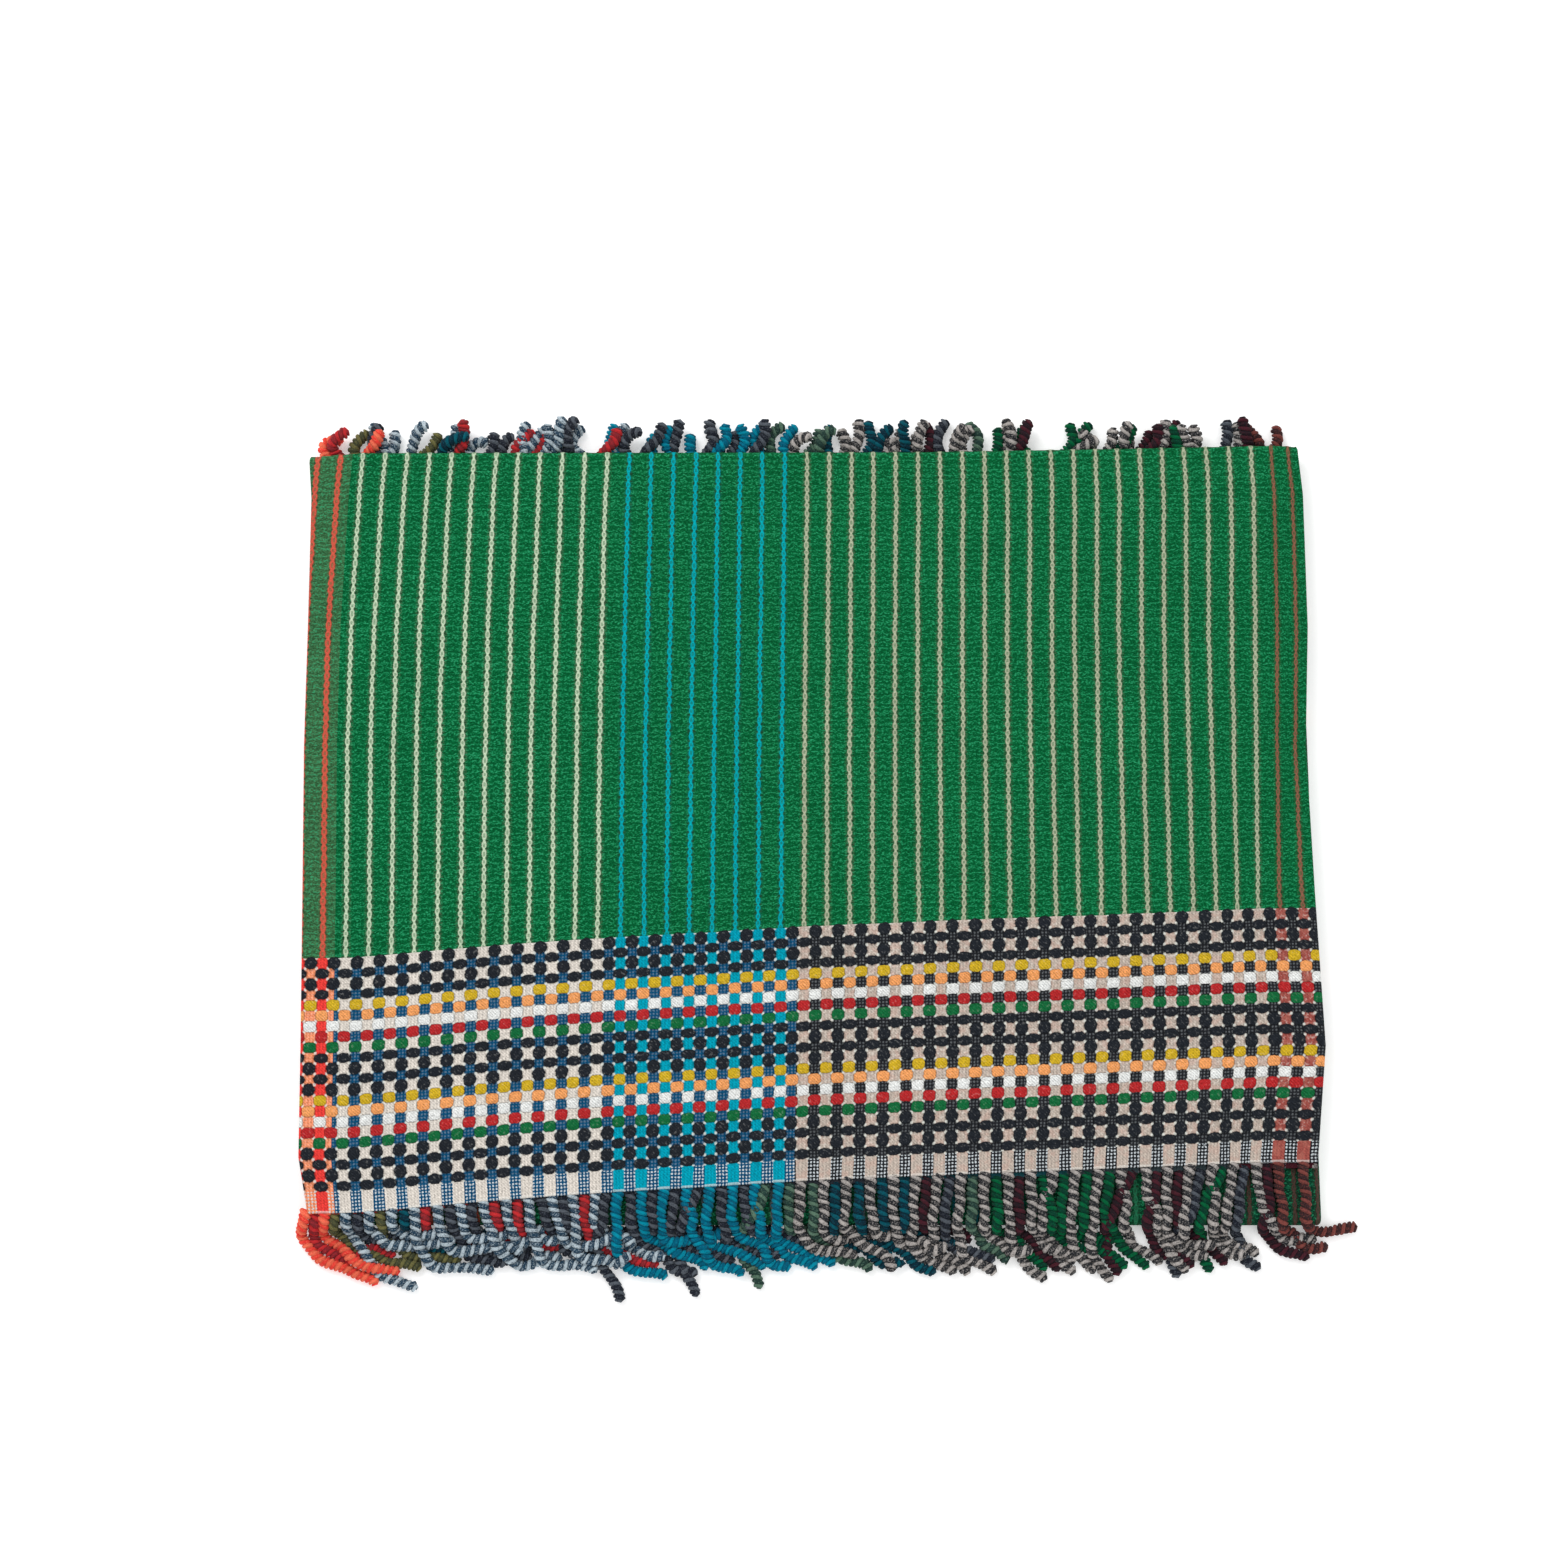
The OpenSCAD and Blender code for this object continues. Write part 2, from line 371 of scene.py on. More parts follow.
@dataclass(frozen=True)
class Weave:
    """The pattern of the cloth, in millimetres of its own width and length.

    pitch, first and count are those of the stripes on the face, header, row and rows those of a
    band, and link is the length of one link of a stripe's chain. The colours of the rows come
    again after REPEAT rows, of which the first DARK_ROWS are dark.
    """

    REPEAT = 9
    DARK_ROWS = 4

    pitch: float = 16.28
    first: float = -1.4
    count: int = 45
    header: float = 15.0
    row: float = 7.62
    rows: int = 22
    link: float = 6.1

    @property
    def band(self) -> float:
        """How far the checked band reaches from a woven end."""
        return self.header + self.row * self.rows

    def wefts(self) -> list[Colour]:
        """The weft colour of each row, from the header inwards."""
        dark, white = rgb(34, 38, 44), rgb(228, 230, 228)
        green, red = rgb(20, 104, 58), rgb(180, 42, 44)
        orange, yellow = rgb(236, 158, 96), rgb(204, 170, 40)
        lively = [green, red, white, orange, yellow]
        return ([dark] * self.DARK_ROWS + lively) * 2 + [dark] * self.DARK_ROWS

    def block(self, row: np.ndarray, away: np.ndarray, along: np.ndarray) -> np.ndarray:
        """How far places lie from the middle of a weft block: 1 is its edge.

        Args:
            row: the number of the block's row.
            away: distances from the nearest warp stripe, as shares of the pitch.
            along: distances from the middle of the row, in rows.

        Returns:
            The distances, in the shape of the places.
        """
        on_stripe = np.mod(row, 2) == 0
        dark = np.mod(row, self.REPEAT) < self.DARK_ROWS
        side = np.where(on_stripe, away, 0.5 - away)
        wide = np.where(on_stripe, 0.262 + 0.045 * dark, 0.275)
        long = np.where(on_stripe, 0.50 - 0.02 * dark, 0.50 + 0.11 * dark)
        far = (row < -0.5) | (row > self.rows - 0.5)
        return (side / wide) ** 2 + (along / long) ** 2 + 9.0 * far

    def relief(self, across: np.ndarray, along: np.ndarray) -> np.ndarray:
        """Height of the face in metres, from 0 at the ground between the stripes.

        Args:
            across: places across the width, in millimetres.
            along: distances from the nearer woven end, in millimetres.

        Returns:
            The heights, in the shape of the places.
        """
        step = (across - self.first) / self.pitch + 0.5
        offset = step - np.floor(step) - 0.5
        link = np.cos(TURN * along / self.link)
        core = np.exp(-((offset * self.pitch / 2.2) ** 2))
        ground = core * (0.8 + 0.2 * link) + 0.12 * np.cos(TURN * offset)
        cell = (along - self.header) / self.row
        number = np.floor(cell)
        share = cell - number - 0.5
        near = self.block(number, np.abs(offset), np.abs(share))
        far = self.block(number + np.sign(share), np.abs(offset), 1 - np.abs(share))
        puff = np.sqrt(np.clip(1.15 - np.minimum(near, far), 0, 1))
        band = 0.2 + 1.3 * puff
        bare = np.where(along < self.header, 0.35, ground)
        inside = (along >= self.header) & (along < self.band)
        shape = np.where(inside, band, np.maximum(bare, 1.3 * puff))
        return shape * MM


@dataclass(frozen=True)
class Spot:
    """Where a point of the cloth lies in the pattern, as sockets.

    width and place are its true place, u and v follow the wander of the yarns, with v counted
    from the nearer woven end, and away is how far the nearest stripe, whose number is index,
    lies to the side, as a share of the pitch.
    """

    width: Value
    place: Value
    u: Value
    v: Value
    index: Value
    away: Value


@dataclass(frozen=True)
class ClothFinish:
    """The wool of the cloth, dyed and woven in stripes, with checked bands at both ends.

    Lengths are in millimetres: where the colour ramps and the face end and where the face's
    taupe stripes begin, the pitch of the weft's arcs, of the band's threads and of its twill,
    how far the loops at the very end reach, and the length of the whole sheet.
    """

    RAMP_END = 1500
    FACE_END = 725.0
    TAUPE_START = 350.0
    ARC = 4.1
    THREAD = 2.4
    TWILL = 2.3
    LOOPS = 1.6

    weave: Weave
    total_mm: float
    ground: Colour = rgb(0, 112, 60)
    # A painted highlight: pale green specks on the crests of the weft's arcs.
    painted_highlight: Colour = rgb(44, 152, 104)
    shadow: Colour = rgb(0, 56, 28)

    def stripes(self) -> list[Stripe]:
        """The runs of stripes, from the face's left selvedge round to the lining's."""
        green = self.ground
        olive = rgb(74, 124, 80)
        blue, charcoal = rgb(10, 78, 116), rgb(36, 38, 42)
        return [
            Stripe(23.0, rgb(206, 84, 68), rgb(236, 66, 60), rgb(246, 150, 108), olive),
            Stripe(218.5, rgb(196, 214, 184), rgb(222, 214, 204), blue, green),
            Stripe(348.5, rgb(0, 166, 178), rgb(0, 156, 180), blue, green),
            Stripe(690.5, rgb(178, 184, 156), rgb(194, 180, 168), charcoal, green),
            Stripe(self.FACE_END, rgb(142, 92, 74), rgb(160, 82, 74), charcoal, green),
            Stripe(790.0, rgb(84, 60, 54), rgb(72, 28, 38), rgb(48, 18, 28), rgb(16, 72, 54)),
            Stripe(905.0, rgb(40, 120, 84), rgb(54, 66, 70), charcoal, rgb(8, 84, 54)),
            Stripe(1040.0, rgb(20, 92, 102), rgb(24, 70, 78), rgb(24, 34, 50), rgb(6, 76, 54)),
            Stripe(1330.0, rgb(96, 110, 116), rgb(50, 54, 62), rgb(34, 38, 48), rgb(8, 80, 52)),
            Stripe(1451.0, rgb(150, 66, 56), rgb(176, 58, 54), rgb(70, 66, 44), rgb(36, 84, 54)),
        ]

    def material(self) -> bpy.types.Material:
        """The woven cloth as one material on the cloth's own width and length."""
        g = Graph("wool_double_cloth")
        spot = self._spot(g)
        chain, stripe, between, ground = self._yarns(g, spot.width)
        plain = self._ground(g, spot, chain, ground)
        colour, height = self._band(g, spot, stripe, between, plain)
        wool = g.noise(spot.place, 0.95, 4.0)
        fade = g.noise(spot.place, 0.02, 3.0)
        colour = g.shade(colour, 0.18 + wool * 1.3 + fade * 0.24)
        return g.wool(colour, height + wool * 0.6, 1.0 * MM, 0.015, (0.7, 0.8, 0.72))

    def _spot(self, g: Graph) -> Spot:
        """Finds a point's place in the pattern.

        Args:
            g: the graph.

        Returns:
            The place.
        """
        weave = self.weave
        raw_u, raw_v = g.split(g.node("ShaderNodeUVMap", {"uv_map": "Cloth"}))
        u_mm, v_mm = raw_u * 1000, raw_v * 1000
        place = g.join(u_mm, v_mm)
        u = u_mm + (g.noise(place, 0.035, 1.0) - 0.5) * 1.6
        end = v_mm.least(self.total_mm - v_mm)
        v = end + (g.noise(place, 0.05, 1.0) - 0.5) * 1.2
        step = (u - weave.first) / weave.pitch + 0.5
        index = step.floor()
        return Spot(u_mm, place, u, v, index, abs(step - index - 0.5))

    def _yarns(self, g: Graph, width: Value) -> list[Value]:
        """The colours of the yarns at a place across the cloth.

        Args:
            g: the graph.
            width: the place across the cloth.

        Returns:
            What Stripe calls chain, stripe, between and ground, in that order.
        """
        across = width / self.RAMP_END
        runs = self.stripes()
        starts = [0.0] + [run.last_mm / self.RAMP_END for run in runs[:-1]]
        kinds = zip(*((run.chain, run.stripe, run.between, run.ground) for run in runs))
        return [g.ramp(across, list(zip(starts, colours))) for colours in kinds]

    def _ground(
        self, g: Graph, spot: Spot, stripe: Value, ground: Value
    ) -> tuple[Value, Value]:
        """Short arcs of weft in rows, and a chain of small links along each stripe.

        Args:
            g: the graph.
            spot: the place in the pattern.
            stripe: the colour of the chain.
            ground: the colour of the weft.

        Returns:
            The colour and the height.
        """
        place, u, v, index, away = spot.place, spot.u, spot.v, spot.index, spot.away
        weave = self.weave
        bend = g.noise(place, 0.2, 2.0)
        sag = (away * TURN).sin() * 0.2
        arc = (v / self.ARC + sag + bend * 2.2) * TURN
        rows = arc.sin() * 0.5 + 0.5
        grain = g.noise(g.join(u * 0.7, v * 1.3), 0.86, 3.0)
        light = (rows * 0.34 + grain * 1.7 - 0.6).smooth(0.0, 0.75)
        knit = g.mix(light, g.mix(0.7, ground, self.shadow), ground)
        # Painted highlight: bright specks where the weft's arcs crest.
        highlight_mask = (grain + rows * 0.14).smooth(0.57, 0.74)
        knit = g.mix(highlight_mask * 0.8, knit, self.painted_highlight)

        side = away * weave.pitch
        phase = g.node("ShaderNodeTexWhiteNoise", {"noise_dimensions": "1D"}, {"W": index})
        link = (v / weave.link + phase + (g.noise(place, 0.1, 1.0) - 0.5) * 0.9).fract() - 0.5
        swell = (abs(link) * 2).smooth(1.0, 0.25)
        # The chain's colour, darkened and mixed into the ground: painted shade, used beside the chain and in
        # the eyes of its links.
        shaded_chain = g.mix(0.62, g.mix(0.6, stripe, (0.05, 0.045, 0.03)), ground)
        # Dark specks along both sides of the chain: painted shade beside the raised chain, tinted with its
        # colour.
        flank_shade = side.smooth(4.2, 1.6) * g.noise(place, 0.8, 2.0).smooth(0.44, 0.58)
        body = g.mix(flank_shade * 0.8, knit, shaded_chain)
        # Near black where one link meets the next: painted shade in the notches between links.
        notch_shade = side.smooth(3.4, 2.2) * abs(link).smooth(0.3, 0.48)
        body = g.mix(notch_shade * 0.6, body, (0.02, 0.03, 0.015))
        edge = 0.85 + swell * 0.85 + (index < 1.5) * 0.45
        fuzz = (g.noise(place, 0.95, 2.0) - 0.5) * 1.3
        chain = (side - edge + fuzz).smooth(0.35, -0.35)
        eye = side.smooth(1.0, 0.35) * abs(link).smooth(0.26, 0.12)
        thread = g.mix(0.06, stripe, ground)
        # The eye of each link shows the darkened mix of chain and ground: painted shade in the hole.
        thread = g.mix(eye * 0.62, thread, shaded_chain)
        colour = g.mix(chain, body, thread)
        height = light * 0.5 * (1 - chain) + chain * (0.75 + swell * 0.25) - eye * 0.5
        return colour, height

    def _block(self, row: Value, away: Value, along: Value) -> Value:
        """How far a place lies from the middle of a weft block: 1 is its edge.

        The blocks are those of Weave.block, but with squarer corners, above all in the coloured
        rows, and the dark ones are a little shorter.

        Args:
            row: the number of the block's row.
            away: the distance from the nearest stripe, as a share of the pitch.
            along: the distance from the middle of the row, in rows.

        Returns:
            The distance.
        """
        on_stripe = (row / 2).fract() < 0.25
        dark = (row / self.weave.REPEAT).fract() < 0.43
        side = on_stripe * away + (1 - on_stripe) * (0.5 - away)
        wide = 0.275 + on_stripe * (dark * 0.045 - 0.013)
        long = 0.5 + dark * 0.09 - on_stripe * dark * 0.13
        corner = 3.6 - dark * 1.4
        absent = (row < -0.5) + (row > self.weave.rows - 0.5)
        return (side / wide) ** corner + (along / long) ** corner + absent * 9

    def _nearest_block(self, g: Graph, spot: Spot) -> tuple[Value, Value, Value]:
        """Finds the weft block that a place of a band belongs to.

        Args:
            g: the graph.
            spot: the place in the pattern.

        Returns:
            The distance from the middle of the row, in rows, the number of the block's row, and
            how far the place lies from the block's middle, with a ragged edge at 1.
        """
        weave = self.weave
        cell = (spot.v - weave.header) / weave.row
        number = cell.floor()
        share = cell - number - 0.5
        along = abs(share)
        ahead = (share > 0) * 2 - 1
        near = self._block(number, spot.away, along)
        far = self._block(number + ahead, spot.away, 1 - along)
        row = number + (far < near) * ahead
        ragged = (g.noise(spot.place, 0.46, 3.0) - 0.5) * 1.25
        return along, row, near.least(far) + ragged

    def _band(
        self, g: Graph, spot: Spot, stripe: Value, between: Value, plain: tuple[Value, Value]
    ) -> tuple[Value, Value]:
        """Puffy weft blocks, on the stripes in one row and between them in the next.

        Args:
            g: the graph.
            spot: the place in the pattern.
            stripe: the colour of the stripes.
            between: the colour of the warps between them.
            plain: the colour and the height of the cloth beyond the band.

        Returns:
            The colour and the height.
        """
        weave = self.weave
        place, u, v, away = spot.place, spot.u, spot.v, spot.away
        along, row, blob = self._nearest_block(g, spot)
        block = blob.smooth(1.16, 0.94)
        steps = [(n / weave.rows, colour) for n, colour in enumerate(weave.wefts())]
        weft = g.ramp((row + 0.5) / weave.rows, steps)

        on_warp = (away + (g.noise(place, 0.6, 1.0) - 0.5) * 0.04) < 0.25
        header = v < weave.header
        on_face = u < self.FACE_END
        on_taupe = on_warp * (u > self.TAUPE_START) * on_face
        yarn_v = (v * (TURN / self.THREAD)).sin() * 0.5 + 0.5
        yarn_u = (u * (TURN / self.THREAD)).sin() * 0.5 + 0.5
        dots = (yarn_u * yarn_v * 0.7 + g.noise(place, 0.62, 1.0)).smooth(0.66, 0.84)
        lining = g.mix(dots * (0.14 + header * on_face * 0.72), between, rgb(206, 214, 218))
        base = g.mix(on_warp, lining, stripe)
        # A painted contact shadow: the base cloth darker in a thin ring round each weft block.
        contact_shade = blob.smooth(1.9, 1.05) * (1 - header)
        twill = ((u + v) * (TURN / self.TWILL)).sin() * 0.5 + 0.5
        base = g.shade(base, (0.72 + yarn_u * 0.2 + twill * 0.2) * (1 - contact_shade * 0.42))
        mottle = g.noise(place, 0.42, 3.0)
        base = g.shade(base, 0.62 + mottle * 0.76)
        pale_knot = mottle.smooth(0.52, 0.66) * on_taupe * (1 - header)
        base = g.mix(pale_knot * 0.34, base, rgb(226, 222, 214))
        pink = g.noise(place, 0.16, 2.0).smooth(0.46, 0.6) * on_taupe
        base = g.mix(pink * 0.3, base, g.mix(0.6, stripe, rgb(206, 140, 122)))
        corner = abs(away - 0.25).smooth(0.085, 0.025) * along.smooth(0.28, 0.46)
        base = g.mix(corner * (1 - header) * 0.8, base, rgb(226, 228, 220))
        loops = (v < self.LOOPS) * on_warp * (u < weave.pitch * weave.count)
        base = g.mix(loops * 0.4, base, rgb(236, 236, 230))

        threads = g.noise(g.join(u + v, (u - v) * 0.4), 0.6, 3.0)
        ply = g.shade(weft, 0.3 + twill * 0.26 + threads * 1.1)
        ply = g.mix((threads * mottle).smooth(0.29, 0.4) * 0.16, ply, rgb(190, 190, 186))
        # Painted shade: each weft block darker towards its edge, where its puffed surface turns away.
        ply = g.shade(ply, 1 - blob.smooth(0.6, 1.1) * 0.36)

        in_band = v < weave.band
        colour = g.mix(block, g.mix(in_band, plain[0], base), ply)
        dome = (1.2 - blob).most(0.0)
        low = 0.25 + yarn_u * 0.12 + twill * 0.1
        bare = plain[1] * (1 - in_band) + low * in_band
        height = block * (0.45 + dome * 0.45 + twill * 0.16) + (1 - block) * bare
        return colour, height


@dataclass(frozen=True)
class YarnFinish:
    """Two plies of wool twisted into a fringe strand."""

    name: str
    first: Colour
    second: Colour

    def material(self) -> bpy.types.Material:
        """The strand's material: U tells the plies apart and V runs along them, in metres."""
        g = Graph(f"yarn_{self.name}")
        around, along = g.split(g.node("ShaderNodeUVMap", {"uv_map": "Ply"}))
        ply = abs(around - 0.25) > 0.2
        turn = (around * 2).fract()
        spin = g.join(turn * 3.0 + along * 260, along * 90)
        fibres = g.noise(spin, 5.0, 3.0)
        place = g.node("ShaderNodeTexCoord", None, None, output=3)
        fluff = g.noise(place, 900.0, 2.0)
        tone = g.noise(place, 60.0, 2.0)
        colour = g.mix(ply, self.first, self.second)
        stray = fluff.smooth(0.5, 0.66) * 0.6
        colour = g.mix(stray, colour, g.mix(ply, self.second, self.first))
        colour = g.shade(colour, 0.2 + fibres * 1.0 + tone * 0.62)
        height = fibres * 0.7 + fluff * 0.3
        return g.wool(colour, height, 0.7 * MM, 0.06, (0.8, 0.8, 0.8))


FACE_YARNS: list[tuple[YarnFinish, int]] = [
    (YarnFinish("scarlet", rgb(224, 60, 52), rgb(234, 112, 84)), 2),
    (YarnFinish("cream", rgb(178, 192, 200), rgb(34, 60, 80)), 12),
    (YarnFinish("turquoise", rgb(0, 134, 158), rgb(0, 92, 120)), 8),
    (YarnFinish("taupe", rgb(172, 166, 162), rgb(38, 40, 44)), 21),
    (YarnFinish("rust", rgb(124, 66, 60), rgb(52, 36, 38)), 2),
]
LINING_YARNS: dict[str, YarnFinish] = {
    made.name: made
    for made in (
        YarnFinish("brick", rgb(190, 44, 48), rgb(128, 40, 46)),
        YarnFinish("olive", rgb(112, 108, 66), rgb(66, 70, 50)),
        YarnFinish("slate", rgb(84, 90, 98), rgb(28, 32, 42)),
        YarnFinish("teal", rgb(6, 84, 98), rgb(10, 40, 54)),
        YarnFinish("sage", rgb(88, 116, 98), rgb(34, 58, 54)),
        YarnFinish("green", rgb(0, 96, 56), rgb(6, 56, 42)),
        YarnFinish("burgundy", rgb(72, 30, 40), rgb(34, 26, 32)),
    )
}
LINING_RUNS: list[tuple[str, int]] = [
    ("brick", 1), ("olive", 1), ("slate", 1), ("olive", 1), ("teal", 1), ("brick", 1),
    ("slate", 2), ("brick", 2), ("slate", 2), ("brick", 1), ("slate", 7), ("sage", 3),
    ("teal", 4), ("burgundy", 1), ("slate", 1), ("sage", 1), ("green", 1), ("burgundy", 1),
    ("green", 4), ("burgundy", 3), ("slate", 1), ("green", 1), ("slate", 1), ("burgundy", 1),
]


# ------------------------------------------------------------------------------------ cloth


@dataclass
class FoldedShape:
    """Where the folded cloth lies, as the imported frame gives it.

    The constants are in millimetres: how far the cloth of the top panel is pulled sideways, by
    row along the panel and by column, and how far the woven end slants back, the rear fold bows
    out and the lining looks out, each by place. Columns and places are shares of the width. skew
    is the whole slant of the woven end, and band_hold is how much of the panel keeps its length.
    """

    PULL_COLUMNS = (0.0, 0.03, 0.4, 0.9, 0.955, 1.0)
    PULL_ROWS = (-280, -240, -160, -50, 60, 150, 250, 280)
    PULL = (
        (10.7, 6.0, 0.5, -4.5, -8.0, -4.6),
        (3.2, 2.0, 0.8, -3.0, -7.5, -4.4),
        (2.3, 1.2, 1.2, 1.5, 1.8, 3.7),
        (0.3, -0.1, 1.5, 3.6, 0.3, -0.3),
        (-1.8, -2.3, 2.1, 3.4, 3.2, -3.2),
        (-1.7, -2.2, 3.1, 3.8, 5.6, 1.2),
        (-2.1, 0.9, 3.9, 6.5, 7.2, 1.1),
        (-4.4, 2.8, 4.2, 5.6, 6.5, -1.5),
    )
    SLANT_PLACES = (0, 0.05, 0.1, 0.2, 0.3, 0.4, 0.5, 0.65, 0.8, 0.95)
    SLANT = (-1, -0.5, 2.5, 9, 14, 18, 22.5, 27, 31, 35.5)
    BOW_PLACES = (0, 0.04, 0.6, 0.8, 0.97, 1)
    BOW = (-4.4, -1.2, -0.5, 2.0, 4.6, 3.4)
    REACH_PLACES = (0, 0.4, 0.6, 1)
    REACH = (1, 2, 3.5, 3.5)

    skew: float = 39 * MM
    band_hold: float = 190 * MM

    def __post_init__(self) -> None:
        """Reads the panels and the fold lines."""
        low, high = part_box("bottom_panel_cloth")
        self.left, self.right = low.x, high.x
        self.front, self.bottom_end = low.y, high.y
        self.pair = high.z - low.z
        self.bottom_z = (low.z + high.z) / 2
        low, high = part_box("middle_panel_cloth")
        self.rear = high.y
        self.middle_z = (low.z + high.z) / 2
        low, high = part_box("top_panel_cloth")
        self.top_z = (low.z + high.z) / 2
        self.woven_left = low.y
        inner_low, inner_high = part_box("front_fold_inner")
        self.layer = inner_high.y - inner_low.y
        self.fold_r = (self.middle_z - self.bottom_z) / 2
        self.width = self.right - self.left
        self.front_axis_z = self.bottom_z + self.fold_r
        self.rear_axis_z = self.middle_z + self.fold_r
        self.top_length = self.rear - self.woven_left - self.skew / 2

    @property
    def bend(self) -> float:
        """The length of cloth that goes round one fold."""
        return math.pi * self.fold_r

    @property
    def flat_length(self) -> float:
        """The length of the whole sheet along its middle."""
        panels = self.top_length + (self.rear - self.front) + (self.bottom_end - self.front)
        return panels + 2 * self.bend

    def woven_end(self, x: np.ndarray) -> np.ndarray:
        """Where the upper woven end lies at a place across the width."""
        share = (x - self.left) / self.width
        return self.woven_left + np.interp(share, self.SLANT_PLACES, self.SLANT) * MM

    def top_y(self, x: np.ndarray, along: float) -> np.ndarray:
        """Where a weft of the top panel lies: its band keeps its width, the rest is slanted.

        Args:
            x: places across the throw.
            along: the weft's distance from the woven end.

        Returns:
            Its places along the throw.
        """
        start = self.woven_end(x)
        if along <= self.band_hold:
            return start + along
        share = (along - self.band_hold) / (self.top_length - self.band_hold)
        return start + self.band_hold + share * (self.rear - start - self.band_hold)

    def drift(self, share: np.ndarray, y: np.ndarray, upper: float) -> np.ndarray:
        """How far the cloth wanders sideways from its true place.

        Args:
            share: place across the width, from 0 to 1.
            y: place along the panel.
            upper: 1 in the top panel, 0 in the lower ones and between in what joins them.

        Returns:
            The sideways shift.
        """
        mm = y / MM
        columns = [np.interp(mm, self.PULL_ROWS, column) for column in zip(*self.PULL)]
        top = np.zeros_like(mm)
        marks = self.PULL_COLUMNS
        for n in range(len(marks) - 1):
            part = np.clip((share - marks[n]) / (marks[n + 1] - marks[n]), 0, 1)
            top = top + (columns[n + 1] - columns[n]) * part
        top = top + columns[0]
        left = 5.5 + 1.2 * np.sin(mm / 62) + 4 * np.exp(-np.clip(mm + 280, 0, None) / 30)
        right = -2.2 + 1.1 * np.sin(mm / 75 + 1.3)
        lower = left + (right - left) * share
        return (upper * top + (1 - upper) * lower) * MM

    def rear_wave(self, share: np.ndarray, y: np.ndarray) -> np.ndarray:
        """How far the rear fold bows out of its straight line, and the cloth beside it.

        Args:
            share: place across the width, from 0 to 1.
            y: place along the panel.

        Returns:
            The shift to the rear.
        """
        bow = np.interp(share, self.BOW_PLACES, self.BOW)
        near = np.clip(1 - (self.rear - y) / (90 * MM), 0, 1) ** 2
        return bow * near * MM

    def lining_reach(self, x: np.ndarray) -> np.ndarray:
        """How far the lining's woven end lies in front of the face's."""
        reach = np.interp((x - self.left) / self.width, self.REACH_PLACES, self.REACH)
        return reach * (1 + 0.3 * np.sin(x / (19 * MM))) * MM

    def swell(self, x: np.ndarray, y: np.ndarray) -> np.ndarray:
        """How high the top panel stands off the panel under it, as soft cloth does.

        Args:
            x: places across the throw.
            y: places along it.

        Returns:
            The heights.
        """
        a = np.sin(x / (58 * MM) + 0.7) * np.sin(y / (71 * MM) + 1.1)
        b = np.sin(x / (33 * MM) - y / (47 * MM) + 2.0)
        fade = np.clip((self.rear - y) / (60 * MM), 0, 1)
        return (0.55 + 0.4 * a + 0.22 * b) * MM * fade


@dataclass(frozen=True)
class Row:
    """One line of the cloth across its width.

    along is its place on the flat sheet and y its place on the throw, or None where that changes
    across the width; z is the height of the middle of both layers and normal the way out of the
    face, to the rear and up. weight is how far the row goes along with the second of the mesh's
    two bodies, and upper how far it drifts as the top panel does.
    """

    along: float
    y: Optional[float]
    z: float
    normal: tuple[float, float]
    weight: float
    upper: float


@dataclass(frozen=True)
class Section:
    """The closed cross-section of the doubled cloth.

    x is the place across the throw, offset the distance from the middle of both layers, u the
    place on the flat cloth, and relief the share of the weave's height that shows.
    """

    x: np.ndarray
    offset: np.ndarray
    u: np.ndarray
    relief: np.ndarray


